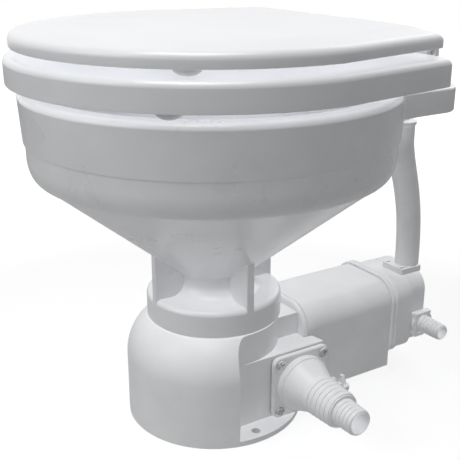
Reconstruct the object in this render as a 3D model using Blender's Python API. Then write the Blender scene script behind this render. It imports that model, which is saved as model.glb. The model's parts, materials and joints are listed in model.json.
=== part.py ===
"""Electric marine toilet: a china bowl on a moulded base, with a motor and pumps behind.

The origin is on the floor at the middle of the round base. +X is the side of the discharge port,
+Y is the rear, where the motor and pump lie, and +Z is up. All lengths are in metres.
"""
import math

import bmesh
import bpy
from mathutils import Matrix, Vector

mm = 0.001

# Clearances and cutting
gap = 0.3 * mm
running_gap = 0.4 * mm
cut_over = 3.0 * mm
weld_distance = 0.01 * mm
flat_angle = math.radians(0.05)
round_steps = 36
port_steps = 18
small_steps = 12

# Base: a round foot, a domed front and a core tube under the bowl
foot_radius = 90.0 * mm
foot_thickness = 6.0 * mm
dome_rise = 41.0 * mm
dome_bend_radius = 50.1 * mm
deck_thickness = 6.0 * mm
deck_clearance = 14.0 * mm
core_radius = 66.0 * mm
core_wall = 5.0 * mm
dome_wall = 5.0 * mm
dome_end_setback = 23.9 * mm
dome_end_fillet = 24.5 * mm
foot_hole_radius = 4.5 * mm
foot_hole_inset = 11.0 * mm
floor_web_half = 10.0 * mm
floor_web_height = 4.0 * mm

# Bowl: turned vitreous china with four ribs and a rear shelf
bowl_foot_lip = 2.0 * mm
bowl_foot_height = 27.0 * mm
bowl_foot_round = 5.5 * mm
neck_radius = 37.0 * mm
neck_rise = 13.2 * mm
neck_flare = 13.0 * mm
cone_low_flare = 6.6 * mm
cone_low_rise = 12.7 * mm
cone_rise = 99.1 * mm
shoulder_reach = 8.8 * mm
shoulder_rise = 20.2 * mm
band_rise = 13.4 * mm
band_step = 2.0 * mm
rim_flare = 4.2 * mm
rim_radius = 178.2 * mm
rim_rise = 45.6 * mm
rim_round = 6.0 * mm
rim_lip_width = 20.0 * mm
rim_lip_depth = 21.0 * mm
bowl_wall = 9.0 * mm
bowl_outlet_radius = 21.0 * mm
rib_thickness = 8.0 * mm
rib_sink = 4.0 * mm
shelf_half_width = 137.5 * mm
shelf_reach = 11.8 * mm
shelf_thickness = 23.0 * mm
shelf_corner = 25.0 * mm
shelf_straight = 21.0 * mm
shelf_sink = 0.1 * mm
shelf_root_angle = math.radians(38.53)
bowl_bolt_inset = 9.0 * mm
bowl_bolt_radius = 4.0 * mm
bowl_bolt_head = 7.0 * mm
bowl_bolt_head_height = 4.5 * mm
bowl_bolt_bite = 16.0 * mm
bowl_gasket_thickness = 1.2 * mm
bowl_gasket_inset = 8.0 * mm

# Seat and lid: D-shaped boards with a round front and a straight rear edge
seat_overhang = 9.2 * mm
seat_taper = 18.4 * mm
seat_corner = 8.0 * mm
seat_lift = 8.0 * mm
seat_thickness = 24.5 * mm
seat_round = 6.0 * mm
seat_tangent = 10.0 * mm
seat_band = 79.4 * mm
opening_stretch = 10.0 * mm
opening_centre = -14.0 * mm
lid_inset = 5.9 * mm
lid_taper = 23.5 * mm
lid_rear_inset = 1.0 * mm
lid_lift = 6.9 * mm
lid_edge = 6.5 * mm
lid_round = 6.5 * mm
lid_crown_rise = 3.2 * mm
crown_radius = 136.0 * mm
crown_rear_half = 112.0 * mm
bumper_radius = 11.5 * mm
seat_bumper_inset = 19.4 * mm
lid_bumper_inset = 15.5 * mm
seat_bumper_angle = math.radians(-42.0)
lid_bumper_angle = math.radians(-37.2)

# Seat hinge behind the seat, on the shelf
hinge_inset = 38.0 * mm
hinge_setback = 13.0 * mm
hinge_drop = 0.5 * mm
hinge_pin_radius = 3.0 * mm
knuckle_radius = 8.0 * mm
post_half_depth = 7.0 * mm
post_inner = 104.0 * mm
post_width = 24.0 * mm
leaf_width = 15.7 * mm
leaf_thickness = 3.4 * mm
leaf_reach = 40.0 * mm
hinge_stud_radius = 4.0 * mm
hinge_stud_sink = 14.0 * mm
hinge_nut_radius = 9.0 * mm
hinge_nut_height = 8.0 * mm
hinge_nut_recess = 9.0 * mm
hinge_nut_room = 2.0 * mm
yoke_inset = 19.0 * mm
yoke_depth = 12.0 * mm

# Motor line: macerator, motor and rinse pump share one shaft along Y
shaft_height = 55.0 * mm
shaft_radius = 4.0 * mm
barrel_radius = 37.0 * mm
barrel_wall = 4.0 * mm
barrel_clearance = 5.5 * mm
inlet_inset = 11.0 * mm
inlet_wall = 6.0 * mm
block_lip = 0.5 * mm
block_front = 40.0 * mm
block_clearance = 0.7 * mm
chamber_front = -11.5 * mm
chamber_clearance = 0.6 * mm
chamber_overhang = 12.0 * mm
chamber_chamfer = 16.0 * mm
chamber_chamfer_rise = 3.0 * mm
flange_front = 80.0 * mm
flange_thickness = 6.0 * mm
flange_lip = 1.5 * mm
spigot_length = 9.0 * mm
cover_half_width = 47.5 * mm
cover_half_height = 50.0 * mm
cover_floor = 5.0 * mm
cover_round = 26.0 * mm
cover_wall = 2.5 * mm
cover_length = 116.4 * mm
lug_reach = 13.0 * mm
lug_length = 20.0 * mm
lug_thickness = 5.0 * mm
lug_setback = 41.7 * mm
lug_gusset_height = 14.0 * mm
lug_gusset_thickness = 4.0 * mm
lug_hole_radius = 3.0 * mm
can_radius = 36.0 * mm
can_wall = 2.0 * mm
magnet_thickness = 4.0 * mm
magnet_clearance = 0.7 * mm
armature_slots = 12
slot_width = 4.0 * mm
slot_depth = 9.0 * mm
armature_start = 24.0 * mm
winding_length = 9.0 * mm
winding_inset = 4.0 * mm
commutator_radius = 11.0 * mm
commutator_length = 16.0 * mm
commutator_lead = 11.2 * mm
commutator_bars = 12
bar_slit = 0.8 * mm
brush_width = 7.0 * mm
brush_length = 11.0 * mm
brush_card_thickness = 5.0 * mm
end_bell_thickness = 10.0 * mm
bearing_radius = 11.0 * mm
bearing_width = 7.0 * mm
seal_radius = 9.0 * mm
seal_width = 5.0 * mm
gland_radius = 8.0 * mm
gland_nose = 5.6 * mm
gland_length = 16.0 * mm
gland_bore = 2.5 * mm
gland_rise = 17.0 * mm

# Macerator parts
chopper_plate_thickness = 3.0 * mm
chopper_hole_radius = 5.0 * mm
chopper_hole_ring = 20.0 * mm
chopper_holes = 8
blade_clearance = 6.0 * mm
blade_width = 12.0 * mm
blade_thickness = 3.0 * mm
blade_place = 40.0 * mm
hub_radius = 8.0 * mm
waste_impeller_clearance = 4.0 * mm
waste_impeller_back = 3.0 * mm
waste_vane_height = 13.0 * mm
waste_vane_thickness = 3.0 * mm
waste_vanes = 4

# Discharge port: a square plate, a cone and two stepped sets of hose barbs
plate_half = 34.0 * mm
plate_corner = 8.0 * mm
plate_thickness = 6.0 * mm
plate_lift = 0.4 * mm
plate_gasket = 1.0 * mm
port_y = 59.0 * mm
screw_inset = 7.6 * mm
screw_radius = 2.2 * mm
screw_head_radius = 5.6 * mm
screw_head_height = 1.6 * mm
port_lip_radius = 29.5 * mm
port_lip_length = 3.5 * mm
port_cone_length = 26.0 * mm
port_throat_radius = 20.6 * mm
large_barb_length = 37.0 * mm
large_barb_tip = 17.8 * mm
large_barbs = 6
small_barb_start = 13.6 * mm
small_barb_tip = 12.4 * mm
small_barb_length = 25.0 * mm
small_barbs = 5
barb_depth = 1.2 * mm
port_wall = 1.7 * mm
port_mouth = 19.0 * mm
valve_mouth = 4.0 * mm
valve_wall = 2.0 * mm
valve_flange = 3.0 * mm
valve_length = 24.0 * mm

# Rinse pump head
pump_flange_thickness = 10.7 * mm
pump_flange_lip = 2.5 * mm
pump_flange_rise = 3.0 * mm
pump_floor = 16.0 * mm
pump_low_round = 14.0 * mm
pump_inset = 4.5 * mm
pump_length = 24.7 * mm
pump_chamber_radius = 27.0 * mm
end_inset = 3.0 * mm
end_length = 22.5 * mm
cover_way_radius = 5.5 * mm
cover_way_inset = 18.0 * mm
outlet_link_rise = 15.0 * mm
rinse_hub_radius = 10.0 * mm
rinse_vane_thickness = 3.0 * mm
rinse_vane_tip = 3.2 * mm
rinse_vanes = 6
pump_screw_radius = 3.0 * mm
pump_screw_head = 5.0 * mm
pump_screw_head_height = 3.0 * mm
pump_screw_inset = 9.0 * mm
pump_screw_rise = 26.0 * mm
intake_setback = 15.0 * mm
intake_z = 45.0 * mm
intake_block = 5.0 * mm
intake_half_y = 12.5 * mm
intake_half_z = 14.0 * mm
intake_collar_radius = 14.5 * mm
intake_collar_length = 2.5 * mm
intake_barb_length = 33.0 * mm
intake_barb_start = 10.2 * mm
intake_barb_tip = 9.3 * mm
intake_barbs = 6
intake_wall = 0.9 * mm
outlet_x = 20.0 * mm
outlet_setback = 9.0 * mm
outlet_half_x = 16.5 * mm
outlet_foot_side = 2.5 * mm
outlet_foot_lead = 5.0 * mm
outlet_half_y = 15.0 * mm
outlet_height = 7.0 * mm
outlet_barb_length = 14.0 * mm
outlet_barbs = 3

# Rinse hose from the pump to the spigot under the shelf
hose_bore = 11.1 * mm
hose_wall = 2.3 * mm
hose_sides = 12
hose_low_pull = 78.0 * mm
hose_high_pull = 30.0 * mm
hose_rings = 18
inlet_x = 67.0 * mm
inlet_shelf_inset = 10.5 * mm
spigot_collar_lip = 1.1 * mm
spigot_collar_thickness = 4.0 * mm
spigot_drop = 24.0 * mm
spigot_bore = 4.5 * mm
spigot_radius = 7.0 * mm
spigot_barb_length = 12.0 * mm
socket_depth = 11.0 * mm
rinse_way_radius = 5.0 * mm

# Places that follow from the sizes above: the base
deck_height = shaft_height + barrel_radius + deck_clearance
dome_spring_height = deck_height - dome_rise
foot_hole_reach = foot_radius - foot_hole_inset
bowl_bolt_reach = core_radius - core_wall - bowl_bolt_inset
inlet_bore_radius = bowl_bolt_reach - inlet_inset
inlet_neck_radius = inlet_bore_radius + inlet_wall

# The bowl and its shelf
bowl_base = deck_height + gap + bowl_gasket_thickness + gap
bowl_foot_radius = core_radius + bowl_foot_lip
bowl_gasket_radius = bowl_foot_radius - bowl_gasket_inset
neck_height = bowl_base + bowl_foot_height + neck_rise
cone_low_radius = neck_radius + cone_low_flare
cone_low_height = neck_height + cone_low_rise
shoulder_radius = rim_radius - rim_flare
cone_high_radius = shoulder_radius - shoulder_reach
cone_high_height = cone_low_height + cone_rise
shoulder_height = cone_high_height + shoulder_rise
band_height = shoulder_height + band_rise
rim_height = band_height + rim_rise
shelf_bottom = rim_height - shelf_thickness
shelf_rear = rim_radius + shelf_reach

# The seat, the lid and their hinge
seat_radius = rim_radius + seat_overhang
seat_rear_half = seat_radius - seat_taper
opening_half_width = seat_radius - seat_band
opening_half_length = opening_half_width + opening_stretch
lid_radius = seat_radius - lid_inset
lid_rear_half = lid_radius - lid_taper
hinge_back = shelf_rear - hinge_inset
seat_rear = hinge_back - hinge_setback
lid_rear = seat_rear - lid_rear_inset
yoke_front = seat_rear - yoke_inset
seat_bottom = rim_height + seat_lift
seat_top = seat_bottom + seat_thickness
lid_bottom = seat_top + lid_lift
lid_shoulder = lid_bottom + lid_edge + lid_round
lid_top = lid_shoulder + lid_crown_rise
hinge_height = seat_top - hinge_drop

# The macerator and its port
barrel_bore = barrel_radius - barrel_wall
barrel_front = barrel_clearance - math.sqrt((core_radius - core_wall) ** 2 - barrel_radius ** 2)
block_half_width = barrel_radius + block_lip
block_top = deck_height - deck_thickness - gap - block_clearance
block_rear = flange_front - gap
blade_half_length = barrel_bore - blade_clearance
waste_impeller_radius = barrel_bore - waste_impeller_clearance
port_z = foot_thickness + plate_lift + plate_half
port_screw_spacing = plate_half - screw_inset
chamber_side = core_radius
chamber_top = port_z + plate_half + chamber_clearance
chamber_rear = flange_front + chamber_overhang
plate_back = chamber_side + gap + plate_gasket + gap
plate_face = plate_back + plate_thickness
port_bore = small_barb_tip - port_wall

# The motor
flange_half_width = cover_half_width + flange_lip
cover_top = shaft_height + cover_half_height
cover_front = flange_front + flange_thickness + gap
cover_rear = cover_front + cover_length
lug_middle = cover_front + lug_setback
gland_height = shaft_height + gland_rise
armature_radius = can_radius - can_wall - gap - magnet_thickness - magnet_clearance
winding_radius = armature_radius - winding_inset

# The pump, its ports and the hose
pump_flange_half = cover_half_width + pump_flange_lip
pump_flange_front = cover_rear + gap
pump_front = pump_flange_front + pump_flange_thickness + gap
pump_rear = pump_front + pump_length
pump_half_width = cover_half_width - pump_inset
pump_screw_x = pump_half_width - end_inset - pump_screw_inset
end_front = pump_rear + gap
end_rear = end_front + end_length
end_half_width = pump_half_width - end_inset
intake_y = end_front + intake_setback
intake_bore = intake_barb_tip - barb_depth - intake_wall
outlet_y = end_front + outlet_setback
hose_radius = hose_bore + hose_wall
hose_barb = hose_bore * math.cos(math.pi / hose_sides) - gap
spigot_collar_radius = hose_radius + spigot_collar_lip
inlet_y = shelf_rear - inlet_shelf_inset
shaft_start = blade_place - blade_thickness - cut_over

x_axis = Vector((1, 0, 0))
y_axis = Vector((0, 1, 0))
z_axis = Vector((0, 0, 1))


def clear_scene():
    """Start from an empty scene."""
    for old in list(bpy.data.objects):
        bpy.data.objects.remove(old, do_unlink=True)


def make_finish(name, colour, roughness, metallic=0.0):
    """One Principled material."""
    finish = bpy.data.materials.new(name)
    finish.use_nodes = True
    shader = finish.node_tree.nodes["Principled BSDF"]
    shader.inputs["Base Color"].default_value = (*colour, 1.0)
    shader.inputs["Roughness"].default_value = roughness
    shader.inputs["Metallic"].default_value = metallic
    return finish


def make_object(name, bm, finish=None):
    """Link a finished bmesh as an object; without a finish it is a hidden guide for a Boolean."""
    bmesh.ops.remove_doubles(bm, verts=bm.verts, dist=weld_distance)
    bmesh.ops.recalc_face_normals(bm, faces=bm.faces)
    mesh = bpy.data.meshes.new(name)
    bm.to_mesh(mesh)
    bm.free()
    mesh.shade_smooth()
    mesh.set_sharp_from_angle(angle=math.radians(35))
    made = bpy.data.objects.new(name, mesh)
    bpy.context.scene.collection.objects.link(made)
    if finish is None:
        made.hide_render = True
        made.display_type = "WIRE"
    else:
        mesh.materials.append(finish.copy())
        mesh.materials[0].name = name
    return made


def place(made, centre, axis=z_axis):
    """Stand an object's own Z along an axis, with its origin at a point."""
    made.rotation_mode = "QUATERNION"
    made.rotation_quaternion = z_axis.rotation_difference(axis)
    made.location = centre
    return made


def boolean(target, tool, operation):
    """Add one live Boolean with a hidden guide."""
    modifier = target.modifiers.new(operation.lower() + "_" + tool.name, "BOOLEAN")
    modifier.operation = operation
    modifier.solver = "EXACT"
    modifier.object = tool
    return target


def cut(target, *tools):
    """Cut each tool away from the target."""
    for tool in tools:
        boolean(target, tool, "DIFFERENCE")
    return target


def fuse(target, *tools):
    """Join each tool to the target."""
    for tool in tools:
        boolean(target, tool, "UNION")
    return target


def turned_mesh(profile, steps):
    """Spin a closed profile of (radius, height) points about Z; each flat end is one face."""
    bm = bmesh.new()
    verts = [bm.verts.new((radius, 0, height)) for radius, height in profile]
    edges = [bm.edges.new((verts[i - 1], verts[i])) for i in range(len(verts))]
    bmesh.ops.spin(bm, geom=verts + edges, cent=(0, 0, 0), axis=(0, 0, 1), angle=math.tau,
                   steps=steps, use_merge=True)
    bmesh.ops.dissolve_degenerate(bm, edges=bm.edges, dist=weld_distance)
    bmesh.ops.remove_doubles(bm, verts=bm.verts, dist=weld_distance)
    poles = [vert for vert in bm.verts if vert.co.xy.length < weld_distance]
    bmesh.ops.dissolve_verts(bm, verts=poles)
    return bm


def turned(name, profile, centre, axis, finish=None, steps=small_steps):
    """A turned piece: heights run along the axis from the centre."""
    return place(make_object(name, turned_mesh(profile, steps), finish), centre, axis)


def rod_profile(radius, low, high):
    """Profile of a solid round bar."""
    return [(0, low), (radius, low), (radius, high), (0, high)]


def ring_profile(inner, outer, low, high):
    """Profile of a plain ring."""
    return [(inner, low), (outer, low), (outer, high), (inner, high)]


def prism_mesh(outline, low, high, plane):
    """Extrude a flat outline: plane names the two axes that its points are in."""
    along = {"XY": 2, "XZ": 1, "YZ": 0}[plane]

    def point(pair, level):
        values = list(pair)
        values.insert(along, level)
        return values

    bm = bmesh.new()
    face = bm.faces.new([bm.verts.new(point(pair, low)) for pair in outline])
    grown = bmesh.ops.extrude_face_region(bm, geom=[face])
    moved = [item for item in grown["geom"] if isinstance(item, bmesh.types.BMVert)]
    shift = [0, 0, 0]
    shift[along] = high - low
    bmesh.ops.translate(bm, vec=shift, verts=moved)
    return bm


def prism(name, outline, low, high, plane="XY", finish=None):
    """An extruded piece in world coordinates."""
    return make_object(name, prism_mesh(outline, low, high, plane), finish)


def block(name, low, high, finish=None):
    """A box between two corners."""
    outline = [(low[0], low[1]), (high[0], low[1]), (high[0], high[1]), (low[0], high[1])]
    return prism(name, outline, low[2], high[2], "XY", finish)


def arc(centre, radius, start, end, count):
    """Points along an arc; angles in radians."""
    return [(centre[0] + radius * math.cos(start + (end - start) * i / count),
             centre[1] + radius * math.sin(start + (end - start) * i / count))
            for i in range(count + 1)]


def rounded_section(half_width, low, high, high_round, low_round=0.0, steps=5):
    """Section of a housing: flat sides, rounded top corners and, if asked, rounded lower ones."""
    quarter = math.pi / 2
    outline = []
    if low_round:
        outline += arc((half_width - low_round, low + low_round), low_round, -quarter, 0, steps)
    else:
        outline.append((half_width, low))
    outline += arc((half_width - high_round, high - high_round), high_round, 0, quarter, steps)
    return outline + [(-x, z) for x, z in reversed(outline)]


def rounded_square(half_u, half_v, corner, centre=(0, 0), steps=3):
    """A rectangle with round corners about a centre."""
    quarter = math.pi / 2
    outline = []
    for turn, (side_u, side_v) in enumerate(((1, 1), (-1, 1), (-1, -1), (1, -1))):
        middle = (centre[0] + side_u * (half_u - corner), centre[1] + side_v * (half_v - corner))
        outline += arc(middle, corner, turn * quarter, (turn + 1) * quarter, steps)
    return outline


def barb_profile(start, end, first, last, count):
    """Ridges of a hose barb along a taper: each rises gently and drops back sharply."""
    points = []
    for i in range(count):
        low = start + (end - start) * i / count
        high = start + (end - start) * (i + 1) / count
        crest = first + (last - first) * i / (count - 1)
        points += [(crest, low), (crest - barb_depth, high)]
    return points


def board_outline(radius, rear, rear_half, corner, inset=0.0):
    """Plan of a seat or lid: a round front, straight tapered sides and round rear corners.

    Every board has the same number of points, so that outlines can be bridged to each other.
    """
    front_steps = 24
    corner_steps = 3
    rear_steps = 8
    tangent = math.asin(seat_tangent / seat_radius)
    outline = arc((0, 0), radius - inset, -math.pi - tangent, tangent, front_steps)
    side = Vector((rear_half - inset, rear - inset)) - Vector(outline[-1])
    lean = math.atan2(-side.x, side.y)
    middle = (rear_half - inset - corner * (1 + math.tan(lean / 2)), rear - inset - corner)
    right = arc(middle, corner, lean, math.pi / 2, corner_steps)
    right += [(middle[0] * (1 - 2 * i / rear_steps), rear - inset)
              for i in range(1, rear_steps // 2)]
    return outline + right + [(0, rear - inset)] + [(-x, y) for x, y in reversed(right)]


def opening_outline(outline, spread=0.0):
    """The seat's oval opening, with one point beside each point of the board's outline."""
    scale = 1 + spread / opening_half_width
    points = []
    for x, y in outline:
        angle = math.atan2(y - opening_centre, x)
        points.append((scale * opening_half_width * math.cos(angle),
                       opening_centre + scale * opening_half_length * math.sin(angle)))
    return points


def loft_mesh(loops, closed):
    """Join a row of outlines, each given with its height; caps close an open row."""
    bm = bmesh.new()
    rows = [[bm.verts.new((x, y, height)) for x, y in outline] for outline, height in loops]
    if closed:
        rows.append(rows[0])
    else:
        bm.faces.new(rows[0])
        bm.faces.new(rows[-1])
    for lower, upper in zip(rows, rows[1:]):
        for i in range(len(lower)):
            bm.faces.new((lower[i - 1], lower[i], upper[i], upper[i - 1]))
    bmesh.ops.connect_verts_nonplanar(bm, angle_limit=flat_angle, faces=bm.faces)
    return bm


def hinge_group(name, centre):
    """An empty on a joint's axis."""
    group = bpy.data.objects.new(name, None)
    group.location = centre
    group.hide_render = True
    bpy.context.scene.collection.objects.link(group)
    return group


def hang_on(group, *pieces):
    """Parent pieces to a joint's empty and leave them where they are."""
    for piece in pieces:
        piece.parent = group
        piece.matrix_parent_inverse = Matrix.Translation(-group.location)


def spin_copies(count, angle=math.tau):
    """Angles of copies set evenly round a circle."""
    return [angle * i / count for i in range(count)]


def dome_outline():
    """Outer profile of the base's domed front, from the floor to the deck."""
    middle = (foot_radius - dome_bend_radius, dome_spring_height)
    top_angle = math.asin((deck_height - dome_spring_height) / dome_bend_radius)
    return [(0, 0), (foot_radius, 0)] + arc(middle, dome_bend_radius, 0, top_angle, 6) + [
        (0, deck_height)]


def dome_pocket():
    """Profile of the pocket behind the dome's wall, open at the floor."""
    middle = (foot_radius - dome_bend_radius, dome_spring_height)
    inner_bend = dome_bend_radius - dome_wall
    roof = deck_height - deck_thickness
    roof_angle = math.asin((roof - dome_spring_height) / inner_bend)
    arch = [point for point in arc(middle, inner_bend, 0, roof_angle, 5)
            if point[0] > core_radius + gap]
    return [(core_radius, -cut_over), (foot_radius - dome_wall, -cut_over)] + arch + [
        (core_radius, arch[-1][1])]


def rear_cut_outline():
    """Plan of what is cut from the dome behind its end walls, with a fillet at each wall's root."""
    wall = -dome_end_setback
    fillet_y = wall + dome_end_fillet
    fillet_x = math.sqrt((core_radius + dome_end_fillet) ** 2 - fillet_y ** 2)
    meet = math.atan2(fillet_y, fillet_x)
    outer = foot_radius + cut_over
    right = [(outer, wall)] + arc((fillet_x, fillet_y), dome_end_fillet, -math.pi / 2,
                                  meet - math.pi, 4)
    back = arc((0, 0), core_radius, meet, math.pi / 2, 9)[1:]
    half = right + back
    return half + [(-x, y) for x, y in reversed(half[:-1])] + [(-outer, outer), (outer, outer)]


def make_base(plastic):
    """Moulded base: round foot, domed front, core tube and deck, open underneath but for a web."""
    base = turned("base_housing", dome_outline(), (0, 0, 0), z_axis, plastic, round_steps)
    behind = prism("base_rear_cut", rear_cut_outline(), foot_thickness, deck_height + cut_over)
    pocket = turned("base_pocket", dome_pocket(), (0, 0, 0), z_axis, steps=round_steps)
    pocket_end = -dome_end_setback - 2 * dome_wall
    reach = foot_radius + cut_over
    pocket_limit = block("base_pocket_limit", (-reach, pocket_end, -2 * cut_over),
                         (reach, reach, deck_height))
    cut(pocket, pocket_limit)
    hollow = turned("base_hollow",
                    rod_profile(core_radius - core_wall, -cut_over, deck_height - deck_thickness),
                    (0, 0, 0), z_axis, steps=round_steps)
    cut(hollow, block("base_floor_web", (-reach, -floor_web_half, -2 * cut_over),
                      (reach, floor_web_half, floor_web_height)))
    mouth = turned("base_mouth", rod_profile(inlet_bore_radius, deck_height - 2 * deck_thickness,
                                             deck_height + cut_over), (0, 0, 0), z_axis,
                   steps=port_steps)
    side_window = block("base_side_window",
                        (0, chamber_front - gap, foot_thickness),
                        (reach, foot_radius, chamber_top + gap))
    rear_window = block("base_rear_window",
                        (-block_half_width - gap, 0, foot_thickness),
                        (block_half_width + gap, reach, block_top + gap))
    foot_trim = block("base_foot_trim", (-reach, flange_front - gap, -cut_over),
                      (reach, reach, 2 * foot_thickness))
    cut(base, behind, pocket, hollow, mouth, side_window, rear_window, foot_trim)
    for side in (1, -1):
        cut(base, turned("foot_hole", rod_profile(foot_hole_radius, -cut_over, 3 * cut_over),
                         (side * foot_hole_reach, 0, 0), z_axis))
    for x, y in bolt_places():
        cut(base, turned("deck_hole", rod_profile(bowl_bolt_radius + gap, block_top + gap / 2,
                                                  deck_height + cut_over), (x, y, 0), z_axis))
    return base


def bolt_places():
    """Places of the four bolts that hold the bowl, between its ribs."""
    return [(bowl_bolt_reach * math.cos(turn + math.pi / 4),
             bowl_bolt_reach * math.sin(turn + math.pi / 4)) for turn in spin_copies(4)]


def bowl_outside():
    """Outer profile of the bowl as a filled body."""
    foot_top = bowl_base + bowl_foot_height
    land = bowl_foot_radius - bowl_foot_round
    profile = [(0, bowl_base), (bowl_foot_radius, bowl_base)]
    profile += arc((land, foot_top - bowl_foot_round), bowl_foot_round, 0, math.pi / 2, 3)
    flare_foot = neck_radius + neck_flare
    for i in range(5):
        turn = math.pi / 2 * i / 4
        profile.append((flare_foot - neck_flare * math.sin(turn),
                        neck_height - neck_rise * math.cos(turn)))
    neck_out = cone_low_radius - neck_radius
    neck_up = cone_low_height - neck_height
    for i in range(1, 4):
        turn = math.pi / 2 * i / 3
        profile.append((cone_low_radius - neck_out * math.cos(turn),
                        neck_height + neck_up * math.sin(turn)))
    profile.append((cone_high_radius, cone_high_height))
    for i in range(1, 4):
        turn = math.pi / 2 * i / 3
        profile.append((cone_high_radius + (shoulder_radius - cone_high_radius) * math.sin(turn),
                        shoulder_height - (shoulder_height - cone_high_height) * math.cos(turn)))
    profile.append((shoulder_radius, band_height))
    profile.append((shoulder_radius + band_step, band_height))
    profile += arc((rim_radius - rim_round, rim_height - rim_round), rim_round, 0, math.pi / 2, 3)
    return profile + [(0, rim_height)]


def bowl_inside():
    """Inner profile of the bowl, from the outlet up past the rim."""
    slope = (cone_high_height - cone_low_height) / (cone_high_radius - cone_low_radius)
    lift = bowl_wall * math.sqrt(1 + slope * slope)

    def floor_height(radius):
        return cone_low_height + slope * (radius - cone_low_radius) + lift

    lip = rim_radius - rim_lip_width
    wide = shoulder_radius - bowl_wall + band_step
    lip_foot = rim_height - rim_lip_depth
    lip_round = rim_round - band_step
    foot_radius_in = wide - bowl_wall
    return [(0, bowl_base - cut_over), (bowl_outlet_radius, bowl_base - cut_over),
            (bowl_outlet_radius, neck_height + neck_up_inside()),
            (neck_radius, floor_height(neck_radius)),
            (foot_radius_in, floor_height(foot_radius_in)),
            (wide, shoulder_height), (wide, lip_foot - bowl_wall), (lip, lip_foot),
            (lip, rim_height - lip_round), (lip + lip_round, rim_height),
            (lip + lip_round, rim_height + cut_over), (0, rim_height + cut_over)]


def neck_up_inside():
    """Rise of the outlet's straight bore above the narrowest place of the neck."""
    return (cone_low_height - neck_height) / 4


def shelf_outline():
    """Plan of the rear shelf; its front edge lies inside the bowl's wall."""
    tuck = rim_radius - rim_lip_width / 2
    front = arc((0, 0), tuck, math.pi - shelf_root_angle, shelf_root_angle, 8)
    root = (rim_radius * math.cos(shelf_root_angle), rim_radius * math.sin(shelf_root_angle))
    corner = (shelf_half_width - shelf_corner, shelf_rear - shelf_corner)
    straight = (shelf_half_width, corner[1] - shelf_straight)
    bend = (shelf_half_width + (root[0] - shelf_half_width) / 4, (root[1] + straight[1]) / 2)
    side = [root, bend, straight, *arc(corner, shelf_corner, 0, math.pi / 2, 4)]
    return front + side + [(-x, y) for x, y in reversed(side)]


def make_bowl(china):
    """Vitreous china bowl with foot, ribs, rim and rear shelf, drilled for bolts and water."""
    bowl = turned("bowl", bowl_outside(), (0, 0, 0), z_axis, china, round_steps)
    fuse(bowl, prism("bowl_shelf", shelf_outline(), shelf_bottom, rim_height - shelf_sink))
    slope = (cone_high_height - cone_low_height) / (cone_high_radius - cone_low_radius)
    rib_foot = bowl_base + bowl_foot_height - bowl_foot_round - band_step
    rib_in = neck_radius - rib_sink
    rib_out = bowl_foot_radius - gap
    rib_top = cone_low_height + slope * (rib_out - cone_low_radius) + rib_sink
    rib = [(rib_in, rib_foot), (rib_out, rib_foot), (rib_out, rib_top),
           (cone_low_radius, cone_low_height + rib_sink), (rib_in, cone_low_height - rib_sink)]
    for turn in spin_copies(4):
        piece = prism("bowl_rib", rib, -rib_thickness / 2, rib_thickness / 2, "XZ")
        piece.rotation_euler.z = turn
        fuse(bowl, piece)
    cut(bowl, turned("bowl_hollow", bowl_inside(), (0, 0, 0), z_axis, steps=round_steps))
    for x, y in bolt_places():
        cut(bowl, turned("bowl_bolt_hole", rod_profile(bowl_bolt_radius + gap, -cut_over,
                                                       bowl_bolt_bite + gap), (x, y, bowl_base),
                         z_axis))
    socket = turned("rinse_socket", rod_profile(spigot_radius + gap, -cut_over,
                                                socket_depth + gap),
                    (inlet_x, inlet_y, shelf_bottom), z_axis, steps=port_steps)
    way_height = shelf_bottom + socket_depth - rinse_way_radius / 2
    way_end = math.sqrt((rim_radius - rim_lip_width) ** 2 - inlet_x ** 2) - cut_over
    way = turned("rinse_way", rod_profile(rinse_way_radius, 0, inlet_y - way_end),
                 (inlet_x, inlet_y, way_height), -y_axis)
    cut(bowl, socket, way)
    for side in (1, -1):
        stud_x = side * (post_inner + post_width / 2)
        cut(bowl, turned("hinge_stud_hole", rod_profile(hinge_stud_radius + gap, -cut_over,
                                                        shelf_thickness + cut_over),
                         (stud_x, hinge_back, shelf_bottom), z_axis),
            turned("hinge_nut_recess", rod_profile(hinge_nut_radius + hinge_nut_room, -cut_over,
                                                   hinge_nut_recess),
                   (stud_x, hinge_back, shelf_bottom), z_axis))
    return bowl


def make_bowl_fixings(rubber, steel):
    """Gasket under the bowl's foot and the bolts that hold the bowl from under the deck."""
    gasket = turned("bowl_gasket", ring_profile(bowl_outlet_radius, bowl_gasket_radius, 0,
                                                bowl_gasket_thickness),
                    (0, 0, deck_height + gap), z_axis, rubber, port_steps)
    head_top = deck_height - deck_thickness - gap
    head_foot = head_top - bowl_bolt_head_height
    shank_top = bowl_base + bowl_bolt_bite
    profile = [(0, head_foot), (bowl_bolt_head, head_foot), (bowl_bolt_head, head_top),
               (bowl_bolt_radius, head_top), (bowl_bolt_radius, shank_top), (0, shank_top)]
    for number, (x, y) in enumerate(bolt_places(), 1):
        cut(gasket, turned("gasket_hole", rod_profile(bowl_bolt_radius + gap, -cut_over, cut_over),
                           (x, y, deck_height + gap), z_axis))
        turned(f"bowl_bolt_{number}", profile, (x, y, 0), z_axis, steel, small_steps // 2)


def chamber_outline():
    """Plan of the discharge chamber beside the macerator barrel."""
    inner = flange_half_width + gap
    return [(0, chamber_front), (chamber_side, chamber_front), (chamber_side, chamber_rear),
            (chamber_side - chamber_chamfer, chamber_rear - chamber_chamfer_rise),
            (inner, flange_front - gap), (0, flange_front - gap)]


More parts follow.
